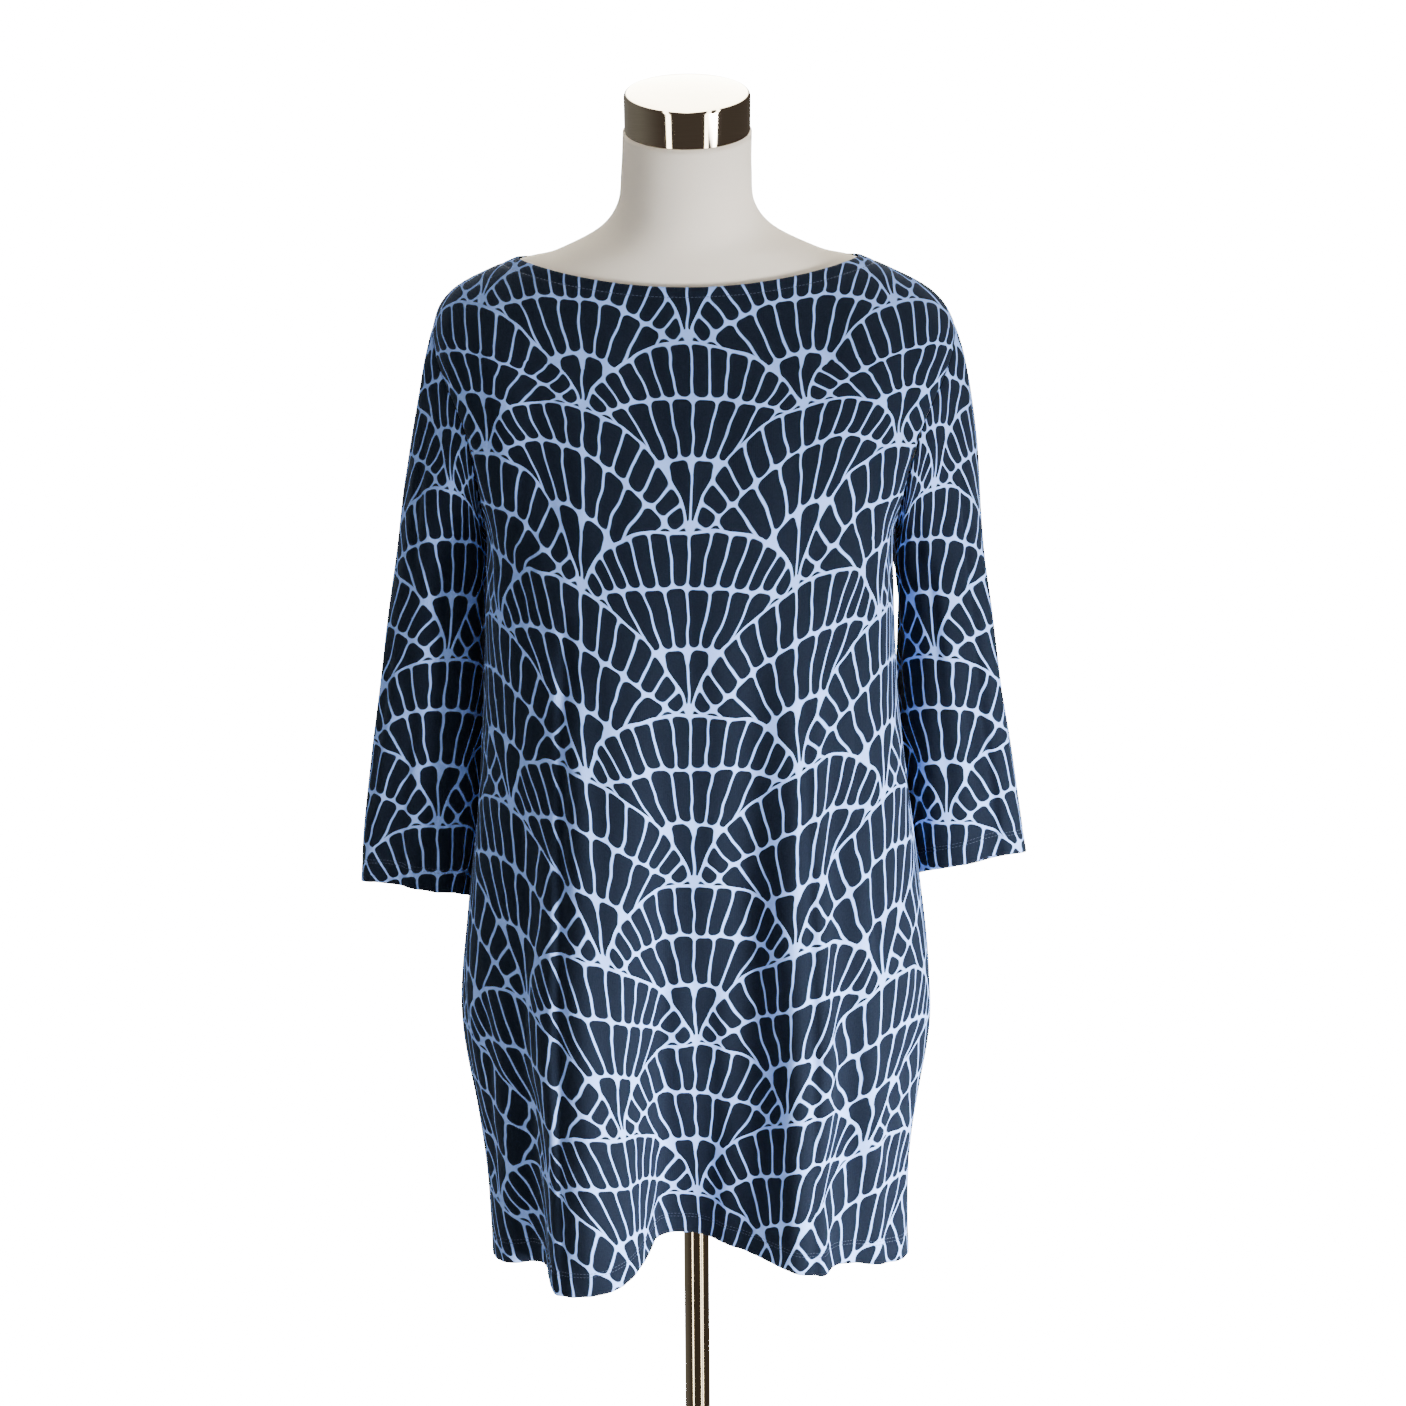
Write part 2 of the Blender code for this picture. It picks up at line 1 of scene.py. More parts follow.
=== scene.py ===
import math

import bpy
import numpy as np
from mathutils import Matrix, Vector


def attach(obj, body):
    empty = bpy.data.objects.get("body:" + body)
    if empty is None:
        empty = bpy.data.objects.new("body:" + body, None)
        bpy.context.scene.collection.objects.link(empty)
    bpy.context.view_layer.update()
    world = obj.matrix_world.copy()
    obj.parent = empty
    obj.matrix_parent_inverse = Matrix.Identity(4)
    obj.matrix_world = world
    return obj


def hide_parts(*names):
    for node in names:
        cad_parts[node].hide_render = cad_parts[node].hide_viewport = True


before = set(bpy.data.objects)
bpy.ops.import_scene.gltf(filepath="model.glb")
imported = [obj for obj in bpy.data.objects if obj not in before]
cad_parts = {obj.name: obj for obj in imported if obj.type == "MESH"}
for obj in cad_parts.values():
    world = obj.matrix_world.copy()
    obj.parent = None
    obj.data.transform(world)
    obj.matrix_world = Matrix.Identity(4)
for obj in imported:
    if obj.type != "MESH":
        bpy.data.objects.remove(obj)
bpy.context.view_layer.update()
print("frame loaded:", len(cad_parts), "nodes")


# Colour and node helpers

def linearColour(code):
    # sRGB hex to linear light: each channel is c/12.92 below 0.04045, else ((c+0.055)/1.055)^2.4
    channels = [int(code[i:i + 2], 16) / 255 for i in (1, 3, 5)]
    linear = [c / 12.92 if c <= 0.04045 else ((c + 0.055) / 1.055) ** 2.4 for c in channels]
    return (*linear, 1.0)


def addNode(tree, kind, settings, inputs):
    # puts in one node with its options; an input is a value, a node, or a node and its output
    node = tree.nodes.new(kind)
    for key, value in settings.items():
        setattr(node, key, value)
    for key, value in inputs.items():
        if isinstance(value, bpy.types.Node):
            tree.links.new(value.outputs[0], node.inputs[key])
        elif isinstance(value, tuple) and isinstance(value[0], bpy.types.Node):
            tree.links.new(value[0].outputs[value[1]], node.inputs[key])
        else:
            node.inputs[key].default_value = value
    return node


def mathNode(tree, operation, *values, kind="Math"):
    # a Math node, or another kind of it, with its inputs in order
    return addNode(tree, "ShaderNode" + kind, {"operation": operation}, dict(enumerate(values)))


def vectorNode(tree, operation, *values):
    # a Vector Math node with its inputs in order
    return mathNode(tree, operation, *values, kind="VectorMath")


def noiseNode(tree, place, scale, detail=2.0, roughness=0.5, dimensions="3D"):
    # a Noise Texture at a place
    return addNode(tree, "ShaderNodeTexNoise", {"noise_dimensions": dimensions},
                   {"Vector": place, "Scale": scale, "Detail": detail, "Roughness": roughness})


def softStep(tree, *values):
    # value, lowest, highest, and what they become, with an S-shaped passage
    return addNode(tree, "ShaderNodeMapRange", {"interpolation_type": "SMOOTHSTEP"}, dict(enumerate(values)))


def mixColours(tree, part, first, second):
    # from the first colour to the second; each is a hex code or a node and its output
    first, second = (linearColour(end) if isinstance(end, str) else end for end in (first, second))
    return addNode(tree, "ShaderNodeMix", {"data_type": "RGBA"}, {0: part, 6: first, 7: second})


def finishSurface(tree, shader, colour, height=None, strength=0.0, distance=0.0):
    # the mixed colour goes to the base, and the height to the normal by way of a bump
    tree.links.new(colour.outputs[2], shader.inputs["Base Color"])
    if height is not None:
        bump = addNode(tree, "ShaderNodeBump", {}, {"Height": height, "Strength": strength,
                                                    "Distance": distance})
        tree.links.new(bump.outputs[0], shader.inputs["Normal"])


def newMaterial(name, settings):
    # a material whose Principled shader has the constants given on its own sockets
    material = bpy.data.materials.new(name)
    material.use_nodes = True
    shader = material.node_tree.nodes["Principled BSDF"]
    for key, value in settings.items():
        shader.inputs[key].default_value = value
    return material, material.node_tree, shader


# Camera: standing 2 m in front at the height of the neck cap, looking down a little

cameraView = {"place": (0.0096, -2.0, 1.545), "down": 15.1, "roll": -0.395, "lens": 60.37, "sensor": 36.0}

cameraData = bpy.data.cameras.new("camera")
cameraData.lens = cameraView["lens"]
cameraData.sensor_width = cameraView["sensor"]
camera = bpy.data.objects.new("camera", cameraData)
bpy.context.scene.collection.objects.link(camera)
camera.matrix_world = (Matrix.Translation(cameraView["place"])
                       @ Matrix.Rotation(math.radians(90 - cameraView["down"]), 4, "X")
                       @ Matrix.Rotation(math.radians(cameraView["roll"]), 4, "Z"))
bpy.context.scene.camera = camera


# Shapes shared with the frame: sections of the tunic and of the form, in metres

tunicSections = {
    # place down the front, side z, front z, back z, half width, front, back, square, shift, lean
    "collarLine": (-0.035, 1.4035, 1.395, 1.416, 0.108, 0.063, 0.061, 0.0, 0.0, 0.0),
    "neckEdge": (0.0, 1.3935, 1.373, 1.387, 0.143, 0.07, 0.064, 0.0, 0.0, 0.0),
    "shoulder": (0.035, 1.3655, 1.336, 1.353, 0.2005, 0.083, 0.082, 0.03, 0.0005, 0.0),
    "tip": (0.065, 1.338, 1.305, 1.32, 0.219, 0.096, 0.093, 0.05, 0.0035, 0.0),
    "chest": (0.13, 1.25, 1.24, 1.245, 0.205, 0.119, 0.103, 0.06, 0.003, 0.0),
    "underarm": (0.205, 1.165, 1.165, 1.165, 0.176, 0.132, 0.106, 0.06, 0.0, 0.0),
    "bust": (0.26, 1.11, 1.11, 1.11, 0.1765, 0.137, 0.104, 0.06, -0.0015, 0.0),
    "underBust": (0.355, 1.015, 1.015, 1.015, 0.1815, 0.136, 0.101, 0.06, -0.0005, 0.0),
    "waist": (0.45, 0.92, 0.922, 0.92, 0.191, 0.134, 0.104, 0.06, 0.0015, 0.0),
    "highHip": (0.53, 0.84, 0.846, 0.84, 0.2017, 0.131, 0.113, 0.07, 0.0015, 0.0),
    "hip": (0.635, 0.735, 0.745, 0.735, 0.212, 0.126, 0.123, 0.08, 0.0018, 0.0),
    "thigh": (0.78, 0.58, 0.603, 0.577, 0.195, 0.115, 0.119, 0.1, 0.002, 0.0),
    "hem": (0.86, 0.487, 0.528, 0.482, 0.1925, 0.107, 0.115, 0.13, 0.0045, 0.0),
}
formSections = {
    "neckTop": (-0.135, 1.4948, 1.4948, 1.4948, 0.0528, 0.051, 0.051, 0.0, 0.0, -0.021),
    "neckMiddle": (-0.105, 1.4635, 1.4585, 1.4685, 0.0538, 0.0525, 0.0525, 0.0, -0.001, -0.0145),
    "neckLow": (-0.08, 1.436, 1.426, 1.4442, 0.0572, 0.0545, 0.053, 0.0, -0.0015, -0.008),
    "neckFoot": (-0.057, 1.4163, 1.4053, 1.4266, 0.0735, 0.0575, 0.052, 0.0, -0.001, -0.002),
    "collarLine": (-0.035, 1.4, 1.3942, 1.406, 0.1068, 0.0598, 0.0545, 0.0, 0.0, 0.0),
    "neckEdge": (0.0, 1.3906, 1.3714, 1.3854, 0.1417, 0.0662, 0.0602, 0.0, 0.0, 0.0),
    "shoulder": (0.035, 1.3633, 1.3352, 1.3518, 0.1986, 0.0796, 0.0786, 0.03, 0.0, 0.0),
    "tip": (0.065, 1.334, 1.304, 1.319, 0.2125, 0.0916, 0.0886, 0.05, 0.003, 0.0),
    "chest": (0.13, 1.25, 1.24, 1.245, 0.198, 0.114, 0.098, 0.06, 0.003, 0.0),
    "underarm": (0.205, 1.165, 1.165, 1.165, 0.16, 0.125, 0.101, 0.06, 0.003, 0.0),
    "bust": (0.26, 1.11, 1.11, 1.11, 0.157, 0.131, 0.097, 0.05, 0.003, 0.0),
    "underBust": (0.355, 1.015, 1.015, 1.015, 0.137, 0.104, 0.085, 0.02, 0.002, 0.0),
    "waist": (0.45, 0.92, 0.92, 0.92, 0.125, 0.09, 0.08, 0.02, 0.0, 0.0),
    "highHip": (0.53, 0.84, 0.84, 0.84, 0.15, 0.092, 0.099, 0.03, 0.0, 0.0),
    "hip": (0.61, 0.76, 0.76, 0.76, 0.17, 0.09, 0.108, 0.04, 0.0, 0.0),
    "foot": (0.665, 0.705, 0.705, 0.705, 0.168, 0.084, 0.103, 0.04, 0.0, 0.0),
    "edge": (0.675, 0.697, 0.697, 0.697, 0.159, 0.076, 0.095, 0.04, 0.0, 0.0),
}
largeFolds = {
    # start down, start across, low across, start width, low width, rise, drop
    "front": ((0.25, -0.42, -0.415, 0.05, 0.022, 0.053, 0.006),
              (0.25, -0.12, -0.16, 0.06, 0.05, -0.099, -0.006),
              (0.25, 0.23, 0.14, 0.06, 0.14, 0.084, 0.0),
              (0.25, 0.38, 0.357, 0.05, 0.022, -0.033, 0.001),
              (0.25, 0.62, 0.62, 0.1, 0.08, -0.005, -0.001)),
    "back": ((0.35, -0.55, -0.5, 0.08, 0.05, 0.026, 0.003),
             (0.35, -0.2, -0.24, 0.08, 0.08, -0.036, -0.004),
             (0.35, 0.14, 0.2, 0.08, 0.09, 0.034, 0.004),
             (0.35, 0.5, 0.48, 0.08, 0.05, -0.024, -0.003)),
    "ease": 1.15, "dropEase": 3.0, "turning": 5,
}
neckLean = {"top": -0.0210, "tilt": 0.285}
armhole = {"scoop": 0.50, "roundness": 0.7}
tipDown, underarmDown, hemDown = (tunicSections[row][0] for row in ("tip", "underarm", "hem"))


def curveThrough(knots, values, at):
    # cubic through the values, with slopes from both neighbours of each knot
    slopes = np.gradient(values, knots)
    place = np.clip(np.searchsorted(knots, at) - 1, 0, len(knots) - 2)
    width = knots[place + 1] - knots[place]
    part = (at - knots[place]) / width
    ease = part * part * (3 - 2 * part)
    bend = width * part * (1 - part) * ((1 - part) * slopes[place] - part * slopes[place + 1])
    return (1 - ease) * values[place] + ease * values[place + 1] + bend


def readColumns(table, at):
    # every column of a table after its first, read at the places given
    rows = np.array(list(table.values()))
    return [curveThrough(rows[:, 0], rows[:, column], at) for column in range(1, rows.shape[1])]


def levelOval(sections, angle, down):
    # an oval: x = shift + width sin, y = lean - depth cos, filled out by 1 + square sin(2 angle)^2,
    # with its height passing from side to front or back by cos squared
    sideZ, frontZ, backZ, width, front, back, square, shift, lean = readColumns(sections, down)
    ahead = np.cos(angle)
    bulge = 1 + square * np.sin(2 * angle) ** 2
    depth = np.where(ahead > 0, front, back)
    level = np.where(ahead > 0, frontZ, backZ)
    x = shift + width * np.sin(angle) * bulge
    y = lean - depth * ahead * bulge
    z = sideZ + (level - sideZ) * ahead ** 2
    z = z - neckLean["tilt"] * lean / neckLean["top"] * depth * ahead * bulge
    return np.stack([x, y, z], axis=-1)


def foldSteps(folds, across, down):
    # each fold is a step of tanh across the panel, growing on its way to the hem
    rise = np.zeros(np.broadcast(across, down).shape)
    drop = np.zeros_like(rise)
    for startDown, startAcross, lowAcross, startWidth, lowWidth, high, low in folds:
        grown = np.clip((down - startDown) / (hemDown - startDown), 0, 1)
        place = startAcross + (lowAcross - startAcross) * grown
        width = startWidth + (lowWidth - startWidth) * grown
        step = 0.5 * (1 + np.tanh((across - place) / width))
        rise = rise + high * grown ** largeFolds["ease"] * step
        drop = drop + low * grown ** largeFolds["dropEase"] * step
    return rise, drop


def tunicSurface(angle, down):
    # the oval, carried out by the folds along a heading that turns from ahead to sideways
    angle, down = np.broadcast_arrays(angle, down)
    ahead = np.cos(angle)
    across = np.where(ahead > 0, angle / (math.pi / 2), 2 - np.mod(angle, 2 * math.pi) / (math.pi / 2))
    rise, drop = np.where(ahead > 0, foldSteps(largeFolds["front"], across, down),
                          foldSteps(largeFolds["back"], across, down))
    heading = np.stack([np.sin(angle) ** largeFolds["turning"], -ahead, np.zeros_like(ahead)], axis=-1)
    heading = heading / np.linalg.norm(heading, axis=-1, keepdims=True)
    points = levelOval(tunicSections, angle, down) + heading * rise[..., None]
    points[..., 2] -= drop
    return points


def armholeEdge(down):
    # a right angle, less the scoop times sin(pi part)^roundness between shoulder tip and underarm
    part = np.clip((down - tipDown) / (underarmDown - tipDown), 0, 1)
    return math.pi / 2 - armhole["scoop"] * np.sin(math.pi * part) ** armhole["roundness"]


# Meshes from grids

def unit(vectors):
    # each vector over its own length
    return vectors / np.maximum(np.linalg.norm(vectors, axis=-1, keepdims=True), 1e-12)


def bell(value, width):
    # exp(-(value / width)^2)
    return np.exp(-(value / width) ** 2)


def runningLength(points, axis):
    # length along a grid of points from its first row or column
    steps = np.linalg.norm(np.diff(points, axis=axis), axis=-1)
    return np.concatenate([np.zeros_like(np.take(steps, [0], axis)), np.cumsum(steps, axis=axis)], axis=axis)


def gridNormals(points, closed):
    # cross product of the two directions of a grid of points
    if closed:
        across = np.roll(points, -1, axis=1) - np.roll(points, 1, axis=1)
    else:
        across = np.gradient(points, axis=1)
    return unit(np.cross(across, np.gradient(points, axis=0)))


def gridQuads(rows, columns, closed, start=0):
    # corner numbers of each quad, and of its corners in the UV grid, which has one column more
    row, column = np.meshgrid(np.arange(rows - 1), np.arange(columns if closed else columns - 1),
                              indexing="ij")
    here, right = row * columns + column, row * columns + (column + 1) % columns
    quads = np.stack([here, here + columns, right + columns, right], axis=-1).reshape(-1, 4) + start
    wide = columns + 1 if closed else columns
    first = row * wide + column
    corners = np.stack([first, first + wide, first + wide + 1, first + 1], axis=-1).reshape(-1, 4)
    return quads, corners


def makeObject(name, points, faces, material, uv=None):
    # one object at the origin from points and faces, smooth, with its UV map if it has one
    mesh = bpy.data.meshes.new(name)
    mesh.from_pydata(points.tolist(), [], faces)
    if uv is not None:
        mesh.uv_layers.new(name="grain").uv.foreach_set("vector", uv.astype(np.float32).ravel())
    mesh.shade_smooth()
    mesh.materials.append(material)
    item = bpy.data.objects.new(name, mesh)
    bpy.context.scene.collection.objects.link(item)
    return item


def outwards(points, quads, corners):
    # turns every quad round if the volume that they enclose comes out negative
    a, b, c, d = (points[quads[:, i]] for i in range(4))
    volume = (np.cross(b - a, c - a) * a).sum() + (np.cross(c - a, d - a) * a).sum()
    if volume < 0:
        quads, corners = quads[:, ::-1], corners[:, ::-1]
    return quads, corners


def wallObject(name, outer, inner, grain, closed, material):
    # cloth as a closed wall: outer grid, inner grid turned round, and a strip along each edge
    rows, columns = outer.shape[:2]
    size = rows * columns
    quads, corners = gridQuads(rows, columns, closed)
    other = quads[:, ::-1] + size
    wide = grain.shape[1]
    last = columns if closed else columns - 1
    step = np.arange(last)
    after = (step + 1) % columns
    low, lowUv = (rows - 1) * columns, (rows - 1) * wide
    strips = [np.stack([step, after, after + size, step + size], axis=1),
              np.stack([low + after, low + step, low + step + size, low + after + size], axis=1)]
    stripCorners = [np.stack([step, step + 1, step + 1, step], axis=1),
                    lowUv + np.stack([step + 1, step, step, step + 1], axis=1)]
    if not closed:
        side = np.arange(rows - 1) * columns
        end = side + columns - 1
        strips += [np.stack([side + columns, side, side + size, side + columns + size], axis=1),
                   np.stack([end, end + columns, end + columns + size, end + size], axis=1)]
        stripCorners += [np.stack([side + columns, side, side, side + columns], axis=1),
                         np.stack([end, end + columns, end + columns, end], axis=1)]
    points = np.concatenate([outer.reshape(-1, 3), inner.reshape(-1, 3)])
    quads = np.concatenate([quads, other] + strips)
    corners = np.concatenate([corners, corners[:, ::-1]] + stripCorners)
    quads, corners = outwards(points, quads, corners)
    uv = grain.reshape(-1, 2)[corners.ravel()]
    return makeObject(name, points, quads.tolist(), material, uv)


def arcGrain(points, middle):
    # flat place of each point: across is the length along its row from the middle column, and
    # up is minus the length down its column, from the level of the highest point of the top row
    across = runningLength(points, 1)
    across = across - across[:, middle:middle + 1]
    start = points[0, :, 2].max() - points[0, :, 2]
    return np.stack([across, -runningLength(points, 0) - start[None, :]], axis=-1)


def creaseField(creases, x, z):
    # sum of ridges and troughs: each is depth times a bell across a bowed line, wider on one side
    # by its skew, and faded towards both ends by 1 - (2 part - 1)^4
    total = np.zeros_like(x)
    for topX, topZ, lowX, lowZ, bow, width, depth, skew in creases:
        length = math.hypot(lowX - topX, lowZ - topZ)
        alongX, alongZ = (lowX - topX) / length, (lowZ - topZ) / length
        part = ((x - topX) * alongX + (z - topZ) * alongZ) / length
        inside = np.clip(part, 0, 1)
        off = (z - topZ) * alongX - (x - topX) * alongZ - bow * 4 * inside * (1 - inside)
        reach = width * np.where(off > 0, 1 + skew, 1 - skew)
        total = total + depth * (1 - (2 * inside - 1) ** 4) * bell(off, reach)
    return total


def softUnevenness(waves, across, up):
    # a few slow waves that keep the cloth from looking machined
    return sum(height * np.sin(2 * math.pi * (across / wide + up / long + turn))
               for height, wide, long, turn in waves)


# Printed jersey: brushed cotton with a fan print of rounded navy strokes on pale blue

fanPrint = {
    "width": 0.178, "rowHeight": 0.077, "radius": 0.089,       # a fan is 178 mm wide
    "hub": 0.01, "ring": 0.049, "firstStrokes": 16.0, "moreStrokes": 20.0, "widest": 0.008,
    "line": 0.0019, "rim": 0.0022, "rounding": 0.0046, "tipDrop": 0.067, "softness": 0.0004, "join": 0.006,
    "wobble": 0.0062, "wobbleScale": 32.0, "fleckScale": 620.0, "patchScale": 9.0,
    "navy": "#131925", "navyDeep": "#0f1520", "blue": "#96b9ff", "blueDeep": "#8bb0fb",
    "wale": 0.0016, "bump": 0.25,                              # wales are drawn at twice their 0.8 mm
}


def fanCell(tree, u, v, row):
    # place inside the fan of a row: across from its centre, and up from its centre
    settings = fanPrint
    odd = mathNode(tree, "FLOORED_MODULO", row, 2.0)
    offset = mathNode(tree, "MULTIPLY", odd, settings["width"] / 2)
    away = mathNode(tree, "SUBTRACT", u, offset)
    across = mathNode(tree, "WRAP", away, settings["width"] / 2, -settings["width"] / 2)
    centre = mathNode(tree, "MULTIPLY", row, settings["rowHeight"])
    up = mathNode(tree, "SUBTRACT", v, centre)
    return addNode(tree, "ShaderNodeCombineXYZ", {}, {0: across, 1: up})


def fanStrokes(tree, grain):
    # distance to the nearest navy stroke, below zero inside it. Fans stand in rows, each row half a
    # fan aside, and a lower row lies over the one above. In a fan the strokes radiate in rings.
    settings = fanPrint
    noise = noiseNode(tree, grain, settings["wobbleScale"], 1.0, 0.4, "2D")
    centred = vectorNode(tree, "SUBTRACT", (noise, 1), (0.5, 0.5, 0.5))
    shifted = vectorNode(tree, "MULTIPLY_ADD", centred, (settings["wobble"],) * 3, grain)
    place = addNode(tree, "ShaderNodeSeparateXYZ", {}, {0: shifted})
    u, v = (place, 0), (place, 1)
    lowest = mathNode(tree, "SUBTRACT", v, settings["radius"])
    counted = mathNode(tree, "DIVIDE", lowest, settings["rowHeight"])
    nearRow = mathNode(tree, "CEIL", counted)
    nextRow = mathNode(tree, "ADD", nearRow, 1.0)
    near, farther = fanCell(tree, u, v, nearRow), fanCell(tree, u, v, nextRow)
    nearReach = vectorNode(tree, "LENGTH", near)
    outside = mathNode(tree, "GREATER_THAN", (nearReach, 1), settings["radius"])
    cell = addNode(tree, "ShaderNodeMix", {"data_type": "VECTOR"}, {0: outside, 4: near, 5: farther})
    reach = vectorNode(tree, "LENGTH", (cell, 1))
    rim = mathNode(tree, "SUBTRACT", (reach, 1), settings["radius"] - settings["rim"])
    fromTip = vectorNode(tree, "ADD", (cell, 1), (0.0, settings["tipDrop"], 0.0))
    tipPlace = addNode(tree, "ShaderNodeSeparateXYZ", {}, {0: fromTip})
    radius = vectorNode(tree, "LENGTH", fromTip)
    turn = mathNode(tree, "ARCTAN2", (tipPlace, 0), (tipPlace, 1))
    beyondHub = mathNode(tree, "SUBTRACT", (radius, 1), settings["hub"])
    rings = mathNode(tree, "DIVIDE", beyondHub, settings["ring"])
    ring = mathNode(tree, "FLOOR", rings)
    ringPart = mathNode(tree, "SUBTRACT", rings, ring)
    ringMiddle = mathNode(tree, "SUBTRACT", ringPart, 0.5)
    radial = mathNode(tree, "MULTIPLY", ringMiddle, settings["ring"])
    strokes = mathNode(tree, "MULTIPLY_ADD", ring, settings["moreStrokes"], settings["firstStrokes"])
    perTurn = mathNode(tree, "DIVIDE", strokes, 2 * math.pi)
    number = mathNode(tree, "MULTIPLY", turn, perTurn)
    strokePart = mathNode(tree, "FRACT", number)
    strokeMiddle = mathNode(tree, "SUBTRACT", strokePart, 0.5)
    pitch = mathNode(tree, "DIVIDE", (radius, 1), perTurn)
    sideways = mathNode(tree, "MULTIPLY", strokeMiddle, pitch)
    halfPitch = mathNode(tree, "MULTIPLY", pitch, 0.5)
    between = mathNode(tree, "SUBTRACT", halfPitch, settings["line"] / 2)
    halfWide = mathNode(tree, "MINIMUM", between, settings["widest"])
    corner = mathNode(tree, "MINIMUM", halfWide, settings["rounding"])
    radialSize = mathNode(tree, "ABSOLUTE", radial)
    pastEnd = mathNode(tree, "SUBTRACT", radialSize, (settings["ring"] - settings["line"]) / 2)
    sideSize = mathNode(tree, "ABSOLUTE", sideways)
    pastSide = mathNode(tree, "SUBTRACT", sideSize, halfWide)
    past = addNode(tree, "ShaderNodeCombineXYZ", {}, {0: pastSide, 1: pastEnd})
    inset = vectorNode(tree, "ADD", past, corner)
    beyond = vectorNode(tree, "MAXIMUM", inset, (0.0, 0.0, 0.0))
    flat = vectorNode(tree, "MULTIPLY", beyond, (1.0, 1.0, 0.0))
    fromAxis = vectorNode(tree, "LENGTH", flat)
    stroke = mathNode(tree, "SUBTRACT", (fromAxis, 1), corner)
    return mathNode(tree, "SMOOTH_MAX", stroke, rim, settings["join"])


def printedJersey():
    # Single jersey of combed cotton: matt, with a faint fuzz that lightens grazing edges. The
    # print is dull ink that follows the cloth's own grain, and the wales run down the garment.
    settings = fanPrint
    material, tree, shader = newMaterial("printedCottonJersey", {
        "Roughness": 0.9, "IOR": 1.45, "Specular IOR Level": 0.03, "Sheen Weight": 0.015,
        "Sheen Roughness": 0.4, "Sheen Tint": linearColour("#8fa4d0")})
    grain = addNode(tree, "ShaderNodeUVMap", {"uv_map": "grain"}, {})
    distance = fanStrokes(tree, grain)
    ink = softStep(tree, distance, -settings["softness"], settings["softness"], 1.0, 0.0)
    heather = noiseNode(tree, grain, settings["fleckScale"], 2.0, 0.6, "2D")
    patches = noiseNode(tree, grain, settings["patchScale"], 2.0, 0.5, "2D")
    fleck = addNode(tree, "ShaderNodeMapRange", {}, {0: (heather, 0), 1: 0.3, 2: 0.7, 3: 0.0, 4: 1.0})
    navy = mixColours(tree, fleck, settings["navyDeep"], settings["navy"])
    blue = mixColours(tree, (patches, 0), settings["blueDeep"], settings["blue"])
    colour = mixColours(tree, ink, (blue, 2), (navy, 2))
    wales = addNode(tree, "ShaderNodeTexWave", {"wave_type": "BANDS", "bands_direction": "X"},
                    {"Vector": grain, "Scale": math.pi / (10 * settings["wale"]), "Distortion": 1.2,
                     "Detail": 1.0, "Detail Scale": 3.0})
    fuzz = mathNode(tree, "ADD", (wales, 1), (heather, 0))
    finishSurface(tree, shader, colour, fuzz, settings["bump"], 0.0004)
    return material


jerseyCloth = printedJersey()
print("jersey material made")


# Front and back of the tunic

clothSize = {"wall": 0.0010, "turned": 0.0022, "neckStitch": 0.0085, "hemStitch": 0.0190,
             "needles": 0.0032, "groove": 0.0005, "grooveWidth": 0.0009, "neckGroove": 0.0008,
             "seamDip": 0.0011, "seamWidth": 0.0032, "edgeRoll": 0.0008, "edgeWidth": 0.0007,
             "seamTurn": 0.00075, "seamCalm": 0.012, "neckCalm": 0.03, "hemRoom": 0.004, "hemBlend": 0.002,
             "neckRoom": 0.002, "neckBlend": 0.001, "puckerHeight": 0.022, "puckerSlant": 0.6,
             "hemPucker": (0.00028, 0.017), "cuffPucker": (0.00025, 0.016)}   # height and pitch
stitchHeights = (clothSize["hemStitch"], clothSize["hemStitch"] + clothSize["needles"])

